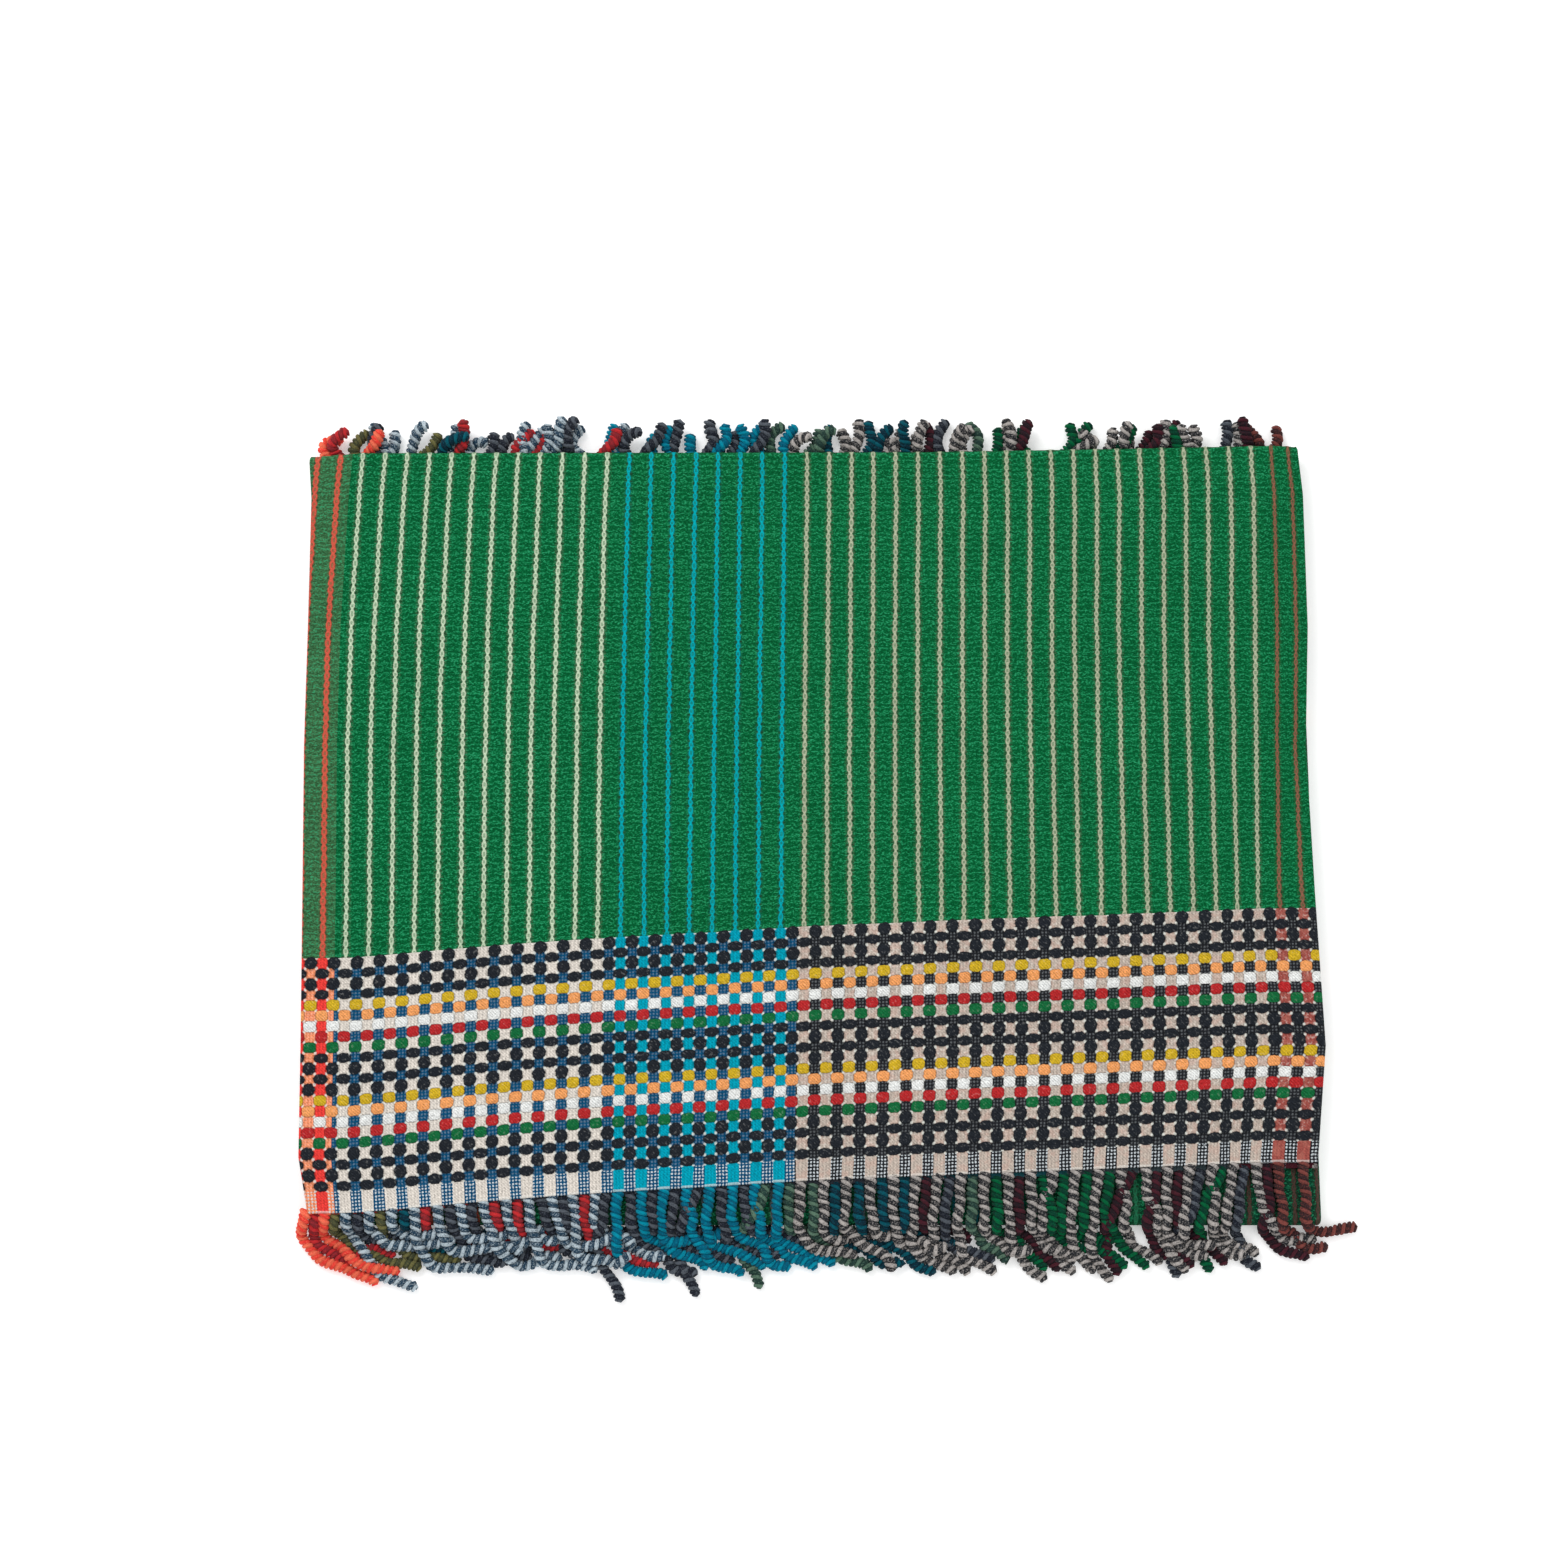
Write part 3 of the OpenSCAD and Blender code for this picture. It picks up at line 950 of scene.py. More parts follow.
class ClothBuilder:
    """Makes the two meshes of the folded sheet.

    The constants are the number of steps across the lining, the steps of the face's columns in
    shares of the pitch, the first rows in millimetres and the others in shares of a weft row,
    the corners on the outer and the inner arc of the width fold, the steps of a length fold, how
    far the selvedge's rim stands out, how deep the weave sinks into the top panel and into the
    others, the share of its height that is left in those, and the length over which the lining's
    reach is lost.
    """

    COARSE = 12
    FINE_STEPS = (-0.5, -0.375, -0.25, -0.135, 0.0, 0.135, 0.25, 0.375)
    HEADER_STEPS = (0.0, 1.2, 4.0, 7.5, 11.0, 14.0)
    ROW_STEPS = (0.0, 0.28, 0.5, 0.72)
    OUTER_ARC = 7
    INNER_ARC = 3
    FOLD_STEPS = 10
    RIM = 0.9 * MM
    SINK = 0.75 * MM
    HIDDEN_SINK = 1.4 * MM
    HIDDEN_RELIEF = 0.5
    REACH_FADE = 120 * MM

    def __init__(self, shape: FoldedShape, weave: Weave) -> None:
        """Prepares the columns, which are shared by all rows."""
        self.shape = shape
        self.weave = weave
        self.outer = shape.pair / 2
        self.inner = shape.pair / 2 - shape.layer
        self.straight = shape.width - self.outer
        fine = [
            (weave.first + (n + step) * weave.pitch) * MM
            for n in range(weave.count + 1)
            for step in self.FINE_STEPS
        ]
        fine = [u for u in fine if 0.6 * MM < u < self.straight - 0.6 * MM]
        self.face = np.array([0.0, *fine, self.straight])
        self.plain = np.linspace(0.0, self.straight, self.COARSE + 1)
        self.section = self._section()
        self.weights: dict[str, np.ndarray] = {}

    def _section(self) -> Section:
        """The cross-section: round the outside from the face to the lining, then back inside."""
        far = 2 * self.straight + self.outer * math.pi
        middle = (self.outer + self.inner) / 2
        corners = [(u, self.outer, u, 1.0) for u in self.face]
        corners += self._arc(self.outer, np.linspace(0, 180, self.OUTER_ARC + 2)[1:-1])
        corners += [(u, -self.outer, far - u, 0.0) for u in self.plain[::-1]]
        corners.append((-self.RIM, -middle, far + self.RIM, 0.0))
        corners += [(u, -self.inner, far - u, 0.0) for u in self.plain]
        corners += self._arc(self.inner, np.linspace(180, 0, self.INNER_ARC + 2)[1:-1])
        corners += [(u, self.inner, u, 0.0) for u in self.plain[::-1]]
        corners.append((-self.RIM, middle, -self.RIM, 0.0))
        return Section(*(np.array(column) for column in zip(*corners)))

    def _arc(self, radius: float, turns: np.ndarray) -> list[tuple[float, float, float, float]]:
        """The corners of an arc round the width fold.

        Args:
            radius: its radius.
            turns: the angle of each corner, in degrees from straight up.

        Returns:
            Each corner's place, offset, place on the flat cloth, and relief.
        """
        return [
            (
                self.straight + radius * math.sin(a),
                radius * math.cos(a),
                self.straight + self.outer * a,
                0.0,
            )
            for a in map(math.radians, turns)
        ]

    def _fold(self, start: float, y: float, z: float, way: int, upper: float) -> list[Row]:
        """The rows of a fold, from the panel above it to the one below.

        Args:
            start: where it begins on the flat sheet.
            y: where it begins on the throw.
            z: the height of its axis.
            way: 1 where it bulges to the rear, -1 where it bulges to the front.
            upper: what Row.upper is.

        Returns:
            The rows in order.
        """
        s = self.shape
        made = []
        for turn in np.linspace(0, 180, self.FOLD_STEPS + 1)[1:]:
            a = math.radians(turn)
            place_y = y + way * s.fold_r * math.sin(a)
            place_z = z + s.fold_r * math.cos(a)
            normal = (math.sin(a), way * math.cos(a))
            along = start + s.bend * turn / 180
            made.append(Row(along, place_y, place_z, normal, 1 - turn / 180, upper))
        return made

    def _upper_rows(self) -> list[Row]:
        """The lines of the top panel, the rear fold and the rear half of the middle panel."""
        s, weave = self.shape, self.weave
        steps = list(self.HEADER_STEPS)
        steps += [
            weave.header + (n + part) * weave.row
            for n in range(weave.rows)
            for part in self.ROW_STEPS
        ]
        spare = s.top_length / MM - weave.band
        count = round(spare / weave.link * 2)
        steps += [weave.band + n * spare / count for n in range(count + 1)]
        made = [Row(step * MM, None, s.top_z, (0.0, 1.0), 1.0, 1.0) for step in steps]
        made += self._fold(s.top_length, s.rear, s.rear_axis_z, 1, 1.0)
        start = s.top_length + s.bend
        for y in np.linspace(s.rear, 0, 9)[1:]:
            upper = max(0.0, 1 - (s.rear - y) / (160 * MM))
            made.append(Row(start + s.rear - y, y, s.middle_z, (0.0, -1.0), 0.0, upper))
        return made

    def _lower_rows(self) -> list[Row]:
        """The lines of the rest of the middle panel, the front fold and the bottom panel."""
        s = self.shape
        start = s.top_length + s.bend
        made = [
            Row(start + s.rear - y, y, s.middle_z, (0.0, -1.0), 1.0, 0.0)
            for y in np.linspace(0, s.front, 9)
        ]
        start += s.rear - s.front
        made += self._fold(start, s.front, s.front_axis_z, -1, 0.0)
        start += s.bend
        for y in np.linspace(s.front, s.bottom_end, 45)[1:]:
            made.append(Row(start + y - s.front, y, s.bottom_z, (0.0, 1.0), 0.0, 0.0))
        return made

    def _lay(self, row: Row) -> tuple[np.ndarray, np.ndarray]:
        """Lays one row of the cloth in its place.

        Args:
            row: the row.

        Returns:
            Its points, and their places on the flat cloth.
        """
        s, loop = self.shape, self.section
        count = len(loop.x)
        share = loop.x / s.width
        base_x = s.left + loop.x
        if row.y is None:
            pull = max(0.0, 1 - row.along / self.REACH_FADE) ** 2
            y = s.top_y(base_x, row.along) - s.lining_reach(base_x) * pull * (loop.offset < 0)
        else:
            y = np.full(count, row.y)
        x = base_x + s.drift(share, y, row.upper)
        y = y + s.rear_wave(share, y) * row.upper
        nearer = min(row.along, s.flat_length - row.along) / MM
        relief = self.weave.relief(loop.u / MM, np.full(count, nearer))
        if row.y is None:
            height, lift = relief - self.SINK, s.swell(x, y)
        else:
            height, lift = (relief - self.HIDDEN_SINK) * self.HIDDEN_RELIEF, np.zeros(count)
        offset = loop.offset + height * loop.relief
        across_y, across_z = row.normal
        points = np.stack([x, y + across_y * offset, row.z + lift + across_z * offset], 1)
        edge_width = s.PULL_COLUMNS[1] * s.width
        marks = s.left + np.array([0.0, edge_width])
        edge, stripe = s.drift((marks - s.left) / s.width, np.full(2, y[0]), row.upper)
        rolled = np.clip(1 - loop.u / edge_width, 0, 1) * (edge - stripe)
        return points, np.stack([loop.u + rolled, np.full(count, row.along)], 1)

    def build(self, name: str, upper: bool) -> bpy.types.Object:
        """One mesh of the sheet, closed, with its own width and length as the map "Cloth".

        Args:
            name: the name of the piece.
            upper: true for the top panel with half of the middle one, false for the rest.

        Returns:
            The piece.
        """
        rows = self._upper_rows() if upper else self._lower_rows()
        count = len(self.section.x)
        laid = [self._lay(row) for row in rows]
        faces: list[tuple[int, ...]] = []
        for low in range(0, (len(rows) - 1) * count, count):
            high = low + count
            for c in range(count):
                n = (c + 1) % count
                faces.append((low + c, low + n, high + n, high + c))
        faces += self._cap(0, False) + self._cap((len(rows) - 1) * count, True)
        places = np.concatenate([flat for _, flat in laid])
        corners = [n for face in faces for n in face]
        self.weights[name] = np.repeat([row.weight for row in rows], count)
        points = np.concatenate([point for point, _ in laid])
        return add_mesh(name, points, faces, "Cloth", places[corners])

    def _cap(self, first: int, flip: bool) -> list[tuple[int, ...]]:
        """Faces that close one end of the tube, between its outer and its inner wall.

        Args:
            first: the number of the end's first point.
            flip: whether the faces are turned round.

        Returns:
            The faces.
        """
        fine = len(self.face)
        arc, small_arc, coarse = self.OUTER_ARC, self.INNER_ARC, len(self.plain)
        outer_lining = fine + arc
        rim_lining = outer_lining + coarse
        inner_lining = rim_lining + 1
        inner_face = inner_lining + coarse + small_arc
        rim_face = inner_face + coarse
        faces: list[tuple[int, ...]] = []
        marks = [int(np.argmin(abs(self.face - u))) for u in self.plain]
        for n in range(coarse - 1):
            near = list(range(marks[n], marks[n + 1] + 1))
            faces.append((*near, inner_face + coarse - 2 - n, inner_face + coarse - 1 - n))
        faces.append((0, inner_face + coarse - 1, rim_face))
        for n in range(coarse - 1):
            a, b = outer_lining + n, outer_lining + n + 1
            c, d = inner_lining + coarse - 2 - n, inner_lining + coarse - 1 - n
            faces.append((a, b, c, d))
        faces.append((outer_lining + coarse - 1, rim_lining, inner_lining))
        bend = [fine - 1, *range(fine, fine + arc), outer_lining]
        back = [inner_lining + coarse - 1 + n for n in range(small_arc + 2)]
        faces.append((*bend, *back))
        lifted = [tuple(first + n for n in face) for face in faces]
        return [face[::-1] for face in lifted] if flip else lifted

    def blend(self, made: bpy.types.Object, first: str, second: str) -> None:
        """Bends a mesh between two bodies, evenly along the arc of the fold between them.

        Args:
            made: the mesh.
            first: the body that its rows of weight 0 ride on.
            second: the body that its rows of weight 1 ride on.
        """
        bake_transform(made, first, second, start=(0, 0, 0), end=(0, 0, 1))
        attribute = made.data.attributes["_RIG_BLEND"]
        attribute.data.foreach_set("value", self.weights[made.name].astype(np.float32))


def add_mesh(
    name: str,
    points: np.ndarray,
    faces: list[tuple[int, ...]],
    map_name: str,
    places: np.ndarray,
) -> bpy.types.Object:
    """Adds a closed, smooth mesh that has its faces outwards.

    Args:
        name: its name.
        points: its points.
        faces: its faces, as numbers of points.
        map_name: the name of its map.
        places: the place on the map of each corner of each face.

    Returns:
        The object.
    """
    mesh = bpy.data.meshes.new(name)
    mesh.from_pydata(points.tolist(), [], faces)
    layer = mesh.uv_layers.new(name=map_name)
    layer.data.foreach_set("uv", places.astype(np.float32).ravel())
    made = bpy.data.objects.new(name, mesh)
    bpy.context.scene.collection.objects.link(made)
    bpy.ops.object.select_all(action="DESELECT")
    made.select_set(True)
    bpy.context.view_layer.objects.active = made
    bpy.ops.object.mode_set(mode="EDIT")
    bpy.ops.mesh.select_all(action="SELECT")
    bpy.ops.mesh.normals_make_consistent(inside=False)
    bpy.ops.object.mode_set(mode="OBJECT")
    mesh.polygons.foreach_set("use_smooth", np.ones(len(mesh.polygons), dtype=bool))
    return made


# ----------------------------------------------------------------------------------- fringe


@dataclass
class Strand:
    """One twisted strand: what it belongs to and the line that it follows."""

    half: Half
    yarn: YarnFinish
    points: np.ndarray
    turn: float


@dataclass
class FringeSettler:
    """Lays limp strands down: they keep their length and their curl, fall, and lie on each other.

    radius is that of a strand, spacing the distance of its points, ground the height of its
    middle where it lies on the floor, rounds the number of rounds, held the number of its points
    that are fixed in the cloth, and lining_top the height of the lining where it looks out. The
    constants are the fall and the farthest push in one round; how near two strands may come and
    how high they lie on the lining, in radii; the shares of an overlap and of a kink that one
    round takes away; how often a round draws the lengths right; and how far beside the cloth it
    still bears strands, and how far front strands pass its left and its right side.
    """

    FALL = 0.4 * MM
    MOST_PUSH = 0.8 * MM
    APART = 1.8
    ON_LINING = 0.7
    PUSH = 0.2
    STIFFNESS = 0.25
    LENGTH_ROUNDS = 5
    MARGIN = 6 * MM
    OVERHANG = (-7 * MM, 24 * MM)

    shape: FoldedShape
    end: End
    radius: float
    spacing: float
    ground: float
    rounds: int = 60
    held: int = 2
    lining_top: float = 16.2 * MM

    def settle(self, paths: np.ndarray) -> np.ndarray:
        """Moves the points of all strands at once until they lie at rest.

        Args:
            paths: places by strand and by point.

        Returns:
            The settled places.
        """
        now = paths.copy()
        held = paths[:, : self.held].copy()
        curl = paths[:, 1:-1] - (paths[:, :-2] + paths[:, 2:]) / 2
        curl[..., 2] = 0.0
        owner = np.repeat(np.arange(len(now)), now.shape[1])
        for _ in range(self.rounds):
            if self.end is End.FRONT:
                now[:, self.held :, 2] -= self.FALL
            self._push_apart(now, owner)
            self._keep_clear(now)
            for _ in range(self.LENGTH_ROUNDS):
                self._keep_length(now)
                now[:, : self.held] = held
            kink = (now[:, :-2] + now[:, 2:]) / 2 + curl - now[:, 1:-1]
            now[:, 1:-1] += kink * self.STIFFNESS
            now[:, : self.held] = held
        self._keep_clear(now)
        now[:, : self.held] = held
        return now

    def _push_apart(self, now: np.ndarray, owner: np.ndarray) -> None:
        """Parts strands that run into each other.

        Args:
            now: the places, which it changes.
            owner: the number of the strand that each place belongs to.
        """
        reach = self.APART * self.radius
        flat = now.reshape(-1, 3)
        square = (flat**2).sum(1)
        gap2 = square[:, None] + square[None, :] - 2 * flat @ flat.T
        close = (gap2 < reach**2) & (owner[:, None] != owner[None, :])
        first, second = np.nonzero(np.triu(close, 1))
        if len(first) == 0:
            return
        line = flat[second] - flat[first]
        gap = np.maximum(np.linalg.norm(line, axis=1), 0.05 * MM)
        push = line * ((reach - gap) / gap * self.PUSH)[:, None]
        move = np.zeros_like(flat)
        np.add.at(move, first, -push)
        np.add.at(move, second, push)
        limit = np.clip(np.linalg.norm(move, axis=1), 1e-9, None)
        move *= (np.minimum(limit, self.MOST_PUSH) / limit)[:, None]
        now += move.reshape(now.shape)

    def _keep_clear(self, now: np.ndarray) -> None:
        """Keeps the strands off the floor and out of the folded cloth.

        Args:
            now: the places, which it changes.
        """
        s = self.shape
        front = self.end is End.FRONT
        x, y, z = now[..., 0], now[..., 1], now[..., 2]
        under = (x > s.left - self.MARGIN) & (x < s.right + self.MARGIN)
        thick = s.pair + (s.middle_z - s.bottom_z - s.pair) / 2
        if front:
            support = np.where(y > s.woven_end(x) - s.lining_reach(x), self.lining_top, 0.0)
            rest = support + self.radius * self.ON_LINING * (support > 0)
            z[:] = np.where(under, np.maximum(z, rest), z)
            depth, height = np.minimum(y - s.front, 0), z - s.front_axis_z
        else:
            depth, height = np.maximum(y - s.rear, 0), z - s.rear_axis_z
            height = np.where(y < s.rear, np.minimum(height, -thick - self.radius), height)
            z[:] = np.where(under, s.rear_axis_z + height, z)
        away = np.sqrt(depth**2 + height**2)
        short = np.maximum(thick + self.radius - away, 0) / np.maximum(away, 0.1 * MM)
        y += np.where(under, depth * short, 0)
        z += np.where(under, height * short, 0)
        np.maximum(z, self.ground, out=z)
        low, high = self.OVERHANG if front else (self.radius, -self.radius)
        np.clip(x, s.left + low, s.right + high, out=x)

    def _keep_length(self, now: np.ndarray) -> None:
        """Draws neighbouring points of each strand to their true distance.

        Args:
            now: the places, which it changes.
        """
        for start in (0, 1):
            a, b = now[:, start:-1:2], now[:, start + 1 :: 2]
            line = b - a
            length = np.linalg.norm(line, axis=2, keepdims=True)
            fix = line * (0.5 * (1 - self.spacing / np.maximum(length, 1e-6)))
            now[:, start:-1:2] += fix
            now[:, start + 1 :: 2] -= fix


class Fringe:
    """The twisted strands of one woven end.

    The constants are the points of a strand's line, the length of a whole twist, the distance of
    the rings of its skin and the angle in degrees and share of the radius of a ring's corners;
    then, by end, how far strands keep apart and how thick they are, as shares of the radius that
    they have in the cloth, and the seed of their disorder; the height of a strand's middle above
    the floor, in radii; the share of its length in which a front strand turns, and its slope in
    radians where it hangs over the fold; and the share of lining strands that go astray.
    """

    POINTS = 30
    LAY = 6.8 * MM
    RING_STEP = 0.86 * MM
    RING = (
        (0, 0.6), (40, 0.93), (90, 1.0), (140, 0.93),
        (180, 0.6), (220, 0.93), (270, 1.0), (320, 0.93),
    )
    SPREAD = {End.FRONT: 1.24, End.REAR: 1.1}
    BULK = {End.FRONT: 1.36, End.REAR: 1.5}
    SEED = {End.FRONT: 41, End.REAR: 87}
    CLEARANCE = 1.06
    TURN_SHARE = 0.42
    DROP = -1.2
    STRAYS = 0.16

    def __init__(self, end: End, shape: FoldedShape, weave: Weave) -> None:
        """Reads the strands' size from the frame.

        Args:
            end: the woven end that they hang from.
            shape: where the cloth lies.
            weave: its pattern, for the stripes that end in strands.
        """
        self.end = end
        self.shape = shape
        self.weave = weave
        low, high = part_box("rear_fringe_scarlet")
        self.length = high.y - low.y
        self.flat_radius = (high.z - low.z) / 2
        self.radius = self.flat_radius * self.SPREAD[end]
        self.full_radius = self.flat_radius * self.BULK[end]
        self.step = self.length / (self.POINTS - 1)
        self.rng = random.Random(self.SEED[end])

    def _stripe_x(self, number: float) -> float:
        """Where a stripe meets the woven end, as the cloth lies.

        Args:
            number: the stripe's number, or a place between two stripes.

        Returns:
            The place across the throw.
        """
        s, w = self.shape, self.weave
        u = (w.first + number * w.pitch) * MM
        share = np.array([u / s.width])
        if self.end is End.FRONT:
            x = np.array([s.left + u])
            return float((x + s.drift(share, s.woven_end(x), 1.0))[0])
        return float(s.left + u + s.drift(share, np.array([s.bottom_end]), 0.0)[0])

    def _front_path(
        self, x: float, half: Half, lean: float, sweep: float, onset: float
    ) -> np.ndarray:
        """A first guess of a front strand: over the edge, down, and away to the right.

        Args:
            x: where it leaves the cloth.
            half: the half of the width that it belongs to.
            lean: its direction at the start, to the right of straight ahead, in radians.
            sweep: its direction at the tip.
            onset: the share of its length after which it begins to turn.

        Returns:
            The places along it.
        """
        s = self.shape
        face = half is Half.FACE
        start = float(s.woven_end(np.array([x]))[0])
        if not face:
            start -= float(s.lining_reach(np.array([x]))[0])
        place = np.array([x, start + 3 * MM, s.top_z + (0.7 if face else -1.6) * MM])
        points = [place.copy()]
        edge = s.front - (8 if face else 5) * MM
        ground = self.radius * (2.9 if face else 1.0)
        for n in range(1, self.POINTS):
            share = np.clip((n / (self.POINTS - 1) - onset) / self.TURN_SHARE, 0, 1)
            turn = lean + (sweep - lean) * share * share * (3 - 2 * share)
            down = self.DROP if place[1] < edge and place[2] > ground else 0.0
            ahead = math.cos(down)
            place = place + self.step * np.array(
                [math.sin(turn) * ahead, -math.cos(turn) * ahead, math.sin(down)]
            )
            points.append(place.copy())
        return np.array(points)

    def _rear_path(self, x: float, lean: float) -> np.ndarray:
        """A rear strand: flat under the middle panel, with its tip curling in the open.

        Args:
            x: where it leaves the cloth.
            lean: its direction, to the right of straight back, in radians.

        Returns:
            The places along it.
        """
        s, rng = self.shape, self.rng
        place = np.array([x, s.bottom_end - 3 * MM, self.flat_radius * self.CLEARANCE])
        points = [place.copy()]
        bow = rng.uniform(0.25, 0.8) * rng.choice((-1, 1))
        hook = rng.gauss(0.2, 0.5)
        rise = rng.choice((0.0, 0.0, 0.35, 0.6))
        for n in range(1, self.POINTS):
            share = n / (self.POINTS - 1)
            turn = lean + bow * math.sin(11 * share) + hook * max(0.0, share - 0.7) * 3
            climb = rise if place[1] > s.rear + 7 * MM else 0.0
            place = place + self.step * np.array([math.sin(turn), math.cos(turn), climb])
            points.append(place.copy())
        return np.array(points)

    def _yarns(self, half: Half) -> list[YarnFinish]:
        """The strands' yarns from the left; the last lining stripe lies inside the width fold."""
        if half is Half.FACE:
            return [yarn for yarn, count in FACE_YARNS for _ in range(count)]
        return [LINING_YARNS[name] for name, count in LINING_RUNS for _ in range(count)]

    def _first_path(self, number: int, half: Half, x: float, clump: float) -> np.ndarray:
        """The path of one strand before it settles.

        Args:
            number: its number from the left.
            half: the half of the width that it belongs to.
            x: where it leaves the cloth.
            clump: how far it and its neighbours lean together.

        Returns:
            The places along it.
        """
        rng = self.rng
        if self.end is End.REAR:
            return self._rear_path(x, 0.1 + clump * 0.8 + rng.gauss(0, 0.08))
        share = number / self.weave.count
        lean = rng.gauss(0.0, 0.1) + clump * 0.7
        sweep = min(1.62 - 0.42 * share + clump + rng.gauss(0, 0.24), 1.75)
        onset = 0.1 + 0.44 * share + rng.gauss(0, 0.06)
        if half is Half.LINING and rng.random() < self.STRAYS:
            lean, sweep = -0.5, 0.45
        if number >= self.weave.count - 2:
            lean, sweep, onset = 0.02, (1.75 if number > self.weave.count - 2 else 1.3), 0.4
        if number < 2 and half is Half.FACE:
            lean, sweep, onset = -0.5, 1.25, 0.06
        return self._front_path(x, half, lean, sweep, onset)

    def strands(self) -> list[Strand]:
        """All strands of this end, settled."""
        clumps = [self.rng.gauss(0, 0.16) for _ in range(self.weave.count)]
        made: list[Strand] = []
        for half in Half:
            for n, yarn in enumerate(self._yarns(half)):
                x = self._stripe_x(n + (0.0 if half is Half.FACE else 0.5))
                path = self._first_path(n, half, x, clumps[n // 3])
                made.append(Strand(half, yarn, path, self.rng.uniform(0, math.pi)))
        ground = self.full_radius * self.CLEARANCE
        settler = FringeSettler(self.shape, self.end, self.radius, self.step, ground)
        settled = settler.settle(np.array([strand.points for strand in made]))
        for strand, points in zip(made, settled):
            strand.points = points
        return made

    def _tube(self, strand: Strand) -> tuple[np.ndarray, np.ndarray, np.ndarray]:
        """A strand's skin: two plies wound round each other, with a groove on either side.

        Args:
            strand: the strand and its line.

        Returns:
            Its points by ring, the distance of each ring, and the place of each end's middle.
        """
        line = resample(strand.points, self.length, self.RING_STEP)
        walk = np.linspace(0, self.length, len(line))
        curl = np.sin(walk / (4.2 * MM) + strand.turn * 5) * np.clip(walk / (25 * MM), 0, 1)
        line = line + np.outer(curl, (0.85 * MM, 0.4 * MM, 0.0))
        ahead = np.gradient(line, axis=0)
        ahead /= np.linalg.norm(ahead, axis=1, keepdims=True)
        side = np.cross(ahead, (0.0, 0.0, 1.0))
        for n in range(1, len(side)):
            carried = side[n - 1] - ahead[n] * (side[n - 1] @ ahead[n])
            side[n] = carried / np.linalg.norm(carried)
        side[0] /= np.linalg.norm(side[0])
        over = np.cross(side, ahead)
        distance = np.concatenate([[0], np.cumsum(np.linalg.norm(np.diff(line, axis=0), axis=1))])
        left = distance[-1] - distance
        gather = np.clip(1 - distance / (9 * MM), 0, 1) ** 1.5
        thick = np.full(len(line), self.full_radius)
        if self.end is End.REAR:
            free = np.clip((line[:, 1] - self.shape.rear) / (6 * MM), 0, 1)
            thick = self.flat_radius * self.CLEARANCE * (1 - free) + thick * free
        thick = thick * (0.55 + 0.45 * np.clip(left / (1.6 * MM), 0, 1) ** 0.5)
        thick = thick * (1 + 0.05 * np.sin(distance / (7 * MM) + strand.turn * 3))
        wide, high = thick * (1 + 0.2 * gather), thick * (1 - 0.6 * gather)
        twist = strand.turn + TURN * distance / self.LAY
        rings = []
        for degrees, out in self.RING:
            angle = twist + math.radians(degrees)
            across = (np.cos(angle) * out * wide)[:, None] * side
            upward = (np.sin(angle) * out * high)[:, None] * over
            rings.append(line + across + upward)
        tips = np.stack([line[0], line[-1] + ahead[-1] * self.radius * 0.3])
        return np.stack(rings, 1), distance, tips

    def build(self, body: str) -> list[bpy.types.Object]:
        """The strands of each yarn as one piece that rides on a body.

        Args:
            body: the body whose woven end the strands hang from.

        Returns:
            The pieces.
        """
        strands = self.strands()
        made: list[bpy.types.Object] = []
        for half in Half:
            names = list(dict.fromkeys(yarn.name for yarn in self._yarns(half)))
            for name in names:
                group = [s for s in strands if s.half is half and s.yarn.name == name]
                node = f"{self.end.value}_{half.value}_{name}"
                piece = self._piece(f"{node}_strands", group)
                piece.data.materials.append(group[0].yarn.material())
                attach(piece, body)
                if self.end is End.FRONT:
                    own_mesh(piece)
                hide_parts(node)
                made.append(piece)
                LOG.info("%s: %d strands of %s", node, len(group), name)
        return made

    def _piece(self, name: str, group: list[Strand]) -> bpy.types.Object:
        """One mesh of several strands, with the map "Ply": U goes round and V along, in metres.

        Args:
            name: the name of the piece.
            group: its strands.

        Returns:
            The piece.
        """
        points: list[np.ndarray] = []
        faces: list[tuple[int, ...]] = []
        places: list[tuple[float, float]] = []
        first = 0
        for strand in group:
            rings, distance, tips = self._tube(strand)
            points += [rings.reshape(-1, 3), tips]
            self._add_skin(first, distance, faces, places)
            first += len(rings) * len(self.RING) + len(tips)
        return add_mesh(name, np.concatenate(points), faces, "Ply", np.array(places))

    def _add_skin(
        self,
        first: int,
        distance: np.ndarray,
        faces: list[tuple[int, ...]],
        places: list[tuple[float, float]],
    ) -> None:
        """Adds the faces of one strand, which is closed at both ends.

        Args:
            first: the number of its first point.
            distance: how far each of its rings lies along it.
            faces: the faces, which it adds to.
            places: the places of their corners on the map, which it adds to.
        """
        sides = len(self.RING)
        last = first + (len(distance) - 1) * sides
        start = last + sides
        for low, v, w in zip(range(first, last, sides), distance[:-1], distance[1:]):
            high = low + sides
            for k in range(sides):
                n = (k + 1) % sides
                faces.append((low + k, low + n, high + n, high + k))
                a, b = k / sides, (k + 1) / sides
                places += [(a, v), (b, v), (b, w), (a, w)]
        for k in range(sides):
            n = (k + 1) % sides
            a, b = k / sides, (k + 1) / sides
            faces += [(first + n, first + k, start), (last + k, last + n, start + 1)]
            places += [(b, 0.0), (a, 0.0), ((a + b) / 2, 0.0)]
            places += [(a, distance[-1]), (b, distance[-1]), ((a + b) / 2, distance[-1])]


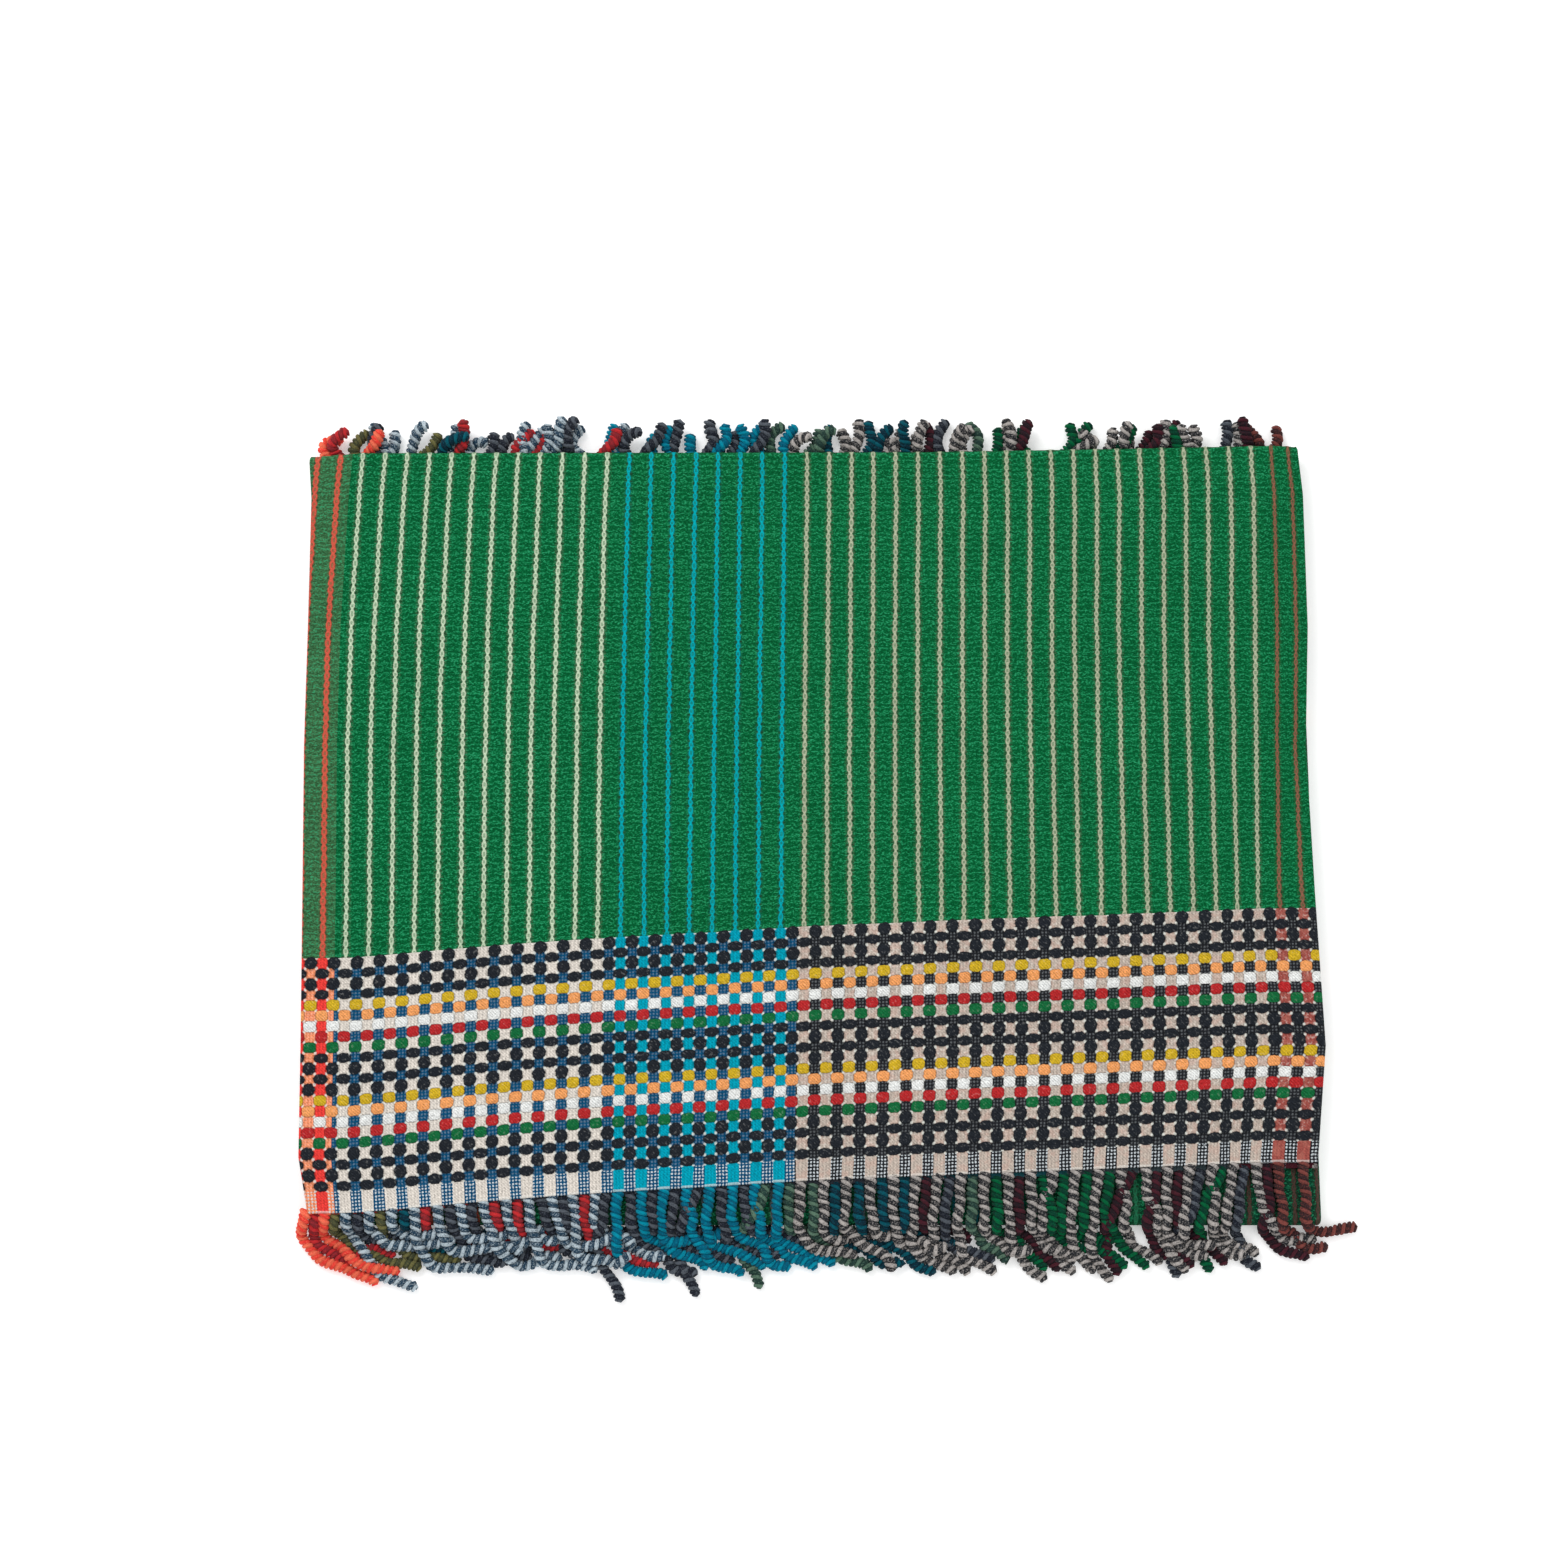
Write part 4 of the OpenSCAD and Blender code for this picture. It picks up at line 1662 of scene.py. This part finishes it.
def resample(points: np.ndarray, length: float, step: float) -> np.ndarray:
    """A smooth line through points, cut into even steps.

    Args:
        points: the places that the line follows.
        length: how long the line is meant to be.
        step: the distance between two places of the result.

    Returns:
        The new places.
    """
    smooth = points.copy()
    for _ in range(2):
        smooth[1:-1] = (smooth[:-2] + 2 * smooth[1:-1] + smooth[2:]) / 4
    walk = np.concatenate([[0], np.cumsum(np.linalg.norm(np.diff(smooth, axis=0), axis=1))])
    count = round(length / step) + 1
    wanted = np.linspace(0, walk[-1], count)
    return np.stack([np.interp(wanted, walk, smooth[:, n]) for n in range(3)], 1)


# ----------------------------------------------------------------------------------- studio


@dataclass
class Studio:
    """A pale floor, soft light and the camera.

    The camera stands at an elevation in degrees and a distance from its target on the floor.
    Each lamp has its name, place, size and power in watts.
    """

    LAMPS = (
        ("key", (-1.3, 1.4, 2.2), 1.6, 36.0),
        ("fill", (1.4, -1.6, 2.2), 2.2, 22.0),
    )

    elevation: float = 75.5
    distance: float = 2.8697
    lens: float = 91.2
    sensor: float = 36.0
    target: tuple[float, float] = (-21.1 * MM, 39 * MM)
    floor_size: float = 12.0
    floor_glow: float = 0.3
    surround: float = 0.72

    def build(self) -> None:
        """Adds the floor, the lights and the camera."""
        self._floor()
        self._lights()
        self._camera()
        bpy.context.scene.view_settings.view_transform = "Standard"

    def _floor(self) -> None:
        """A plain pale floor that the throw lies on."""
        bpy.ops.object.select_all(action="DESELECT")
        bpy.ops.mesh.primitive_plane_add(size=self.floor_size, location=(0, 0, 0))
        floor = bpy.context.active_object
        floor.name = "floor"
        g = Graph("pale_floor")
        grain = g.noise(g.node("ShaderNodeTexCoord", None, None, output=3), 40.0, 2.0)
        material = g.surface(
            {
                "Base Color": g.shade((0.9, 0.9, 0.9), 0.99 + grain * 0.02),
                "Roughness": 0.8,
                "Emission Color": WHITE,
                "Emission Strength": self.floor_glow,
            }
        )
        floor.data.materials.append(material)

    def _lights(self) -> None:
        """A broad key from the rear left, a weaker fill, and an even surround."""
        world = bpy.data.worlds.new("surround")
        world.use_nodes = True
        background = world.node_tree.nodes["Background"]
        background.inputs["Color"].default_value = WHITE
        background.inputs["Strength"].default_value = self.surround
        bpy.context.scene.world = world
        for name, place, size, power in self.LAMPS:
            light = bpy.data.lights.new(name, "AREA")
            light.size = size
            light.energy = power
            lamp = bpy.data.objects.new(name, light)
            lamp.location = place
            lamp.rotation_euler = (-Vector(place)).to_track_quat("-Z", "Y").to_euler()
            bpy.context.scene.collection.objects.link(lamp)

    def _camera(self) -> None:
        """The camera, high in front of the throw."""
        data = bpy.data.cameras.new("camera")
        data.lens = self.lens
        data.sensor_width = self.sensor
        camera = bpy.data.objects.new("camera", data)
        tilt = math.radians(self.elevation)
        aim = Vector((*self.target, 0.0))
        camera.location = aim + Vector((0, -math.cos(tilt), math.sin(tilt))) * self.distance
        camera.rotation_euler = (math.radians(90 - self.elevation), 0, 0)
        bpy.context.scene.collection.objects.link(camera)
        bpy.context.scene.camera = camera


# ------------------------------------------------------------------------------------- main


def main() -> None:
    """Builds the throw and the studio."""
    logging.basicConfig(level=logging.INFO, format="%(name)s: %(message)s")
    Studio().build()
    shape = FoldedShape()
    weave = Weave()
    builder = ClothBuilder(shape, weave)
    material = ClothFinish(weave, shape.flat_length / MM).material()

    upper = builder.build("cloth_upper", upper=True)
    builder.blend(upper, "middle_panel", "top_panel")
    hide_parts("top_panel_cloth", "rear_fold_inner", "rear_fold_outer")
    lower = builder.build("cloth_lower", upper=False)
    builder.blend(lower, "bottom_panel", "middle_panel")
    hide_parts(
        "bottom_panel_cloth", "middle_panel_cloth", "front_fold_inner", "front_fold_outer"
    )
    for piece in (upper, lower):
        piece.data.materials.append(material)
        LOG.info("%s: %d faces", piece.name, len(piece.data.polygons))

    front = Fringe(End.FRONT, shape, weave).build("top_panel")
    rear = Fringe(End.REAR, shape, weave).build("bottom_panel")
    width = 2 * shape.width
    half_middle = (shape.rear - shape.front) / 2
    bend = shape.bend
    shape.top_length + bend + half_middle
    shape.bottom_end - shape.front + bend + half_middle


if __name__ == "__main__":
    main()
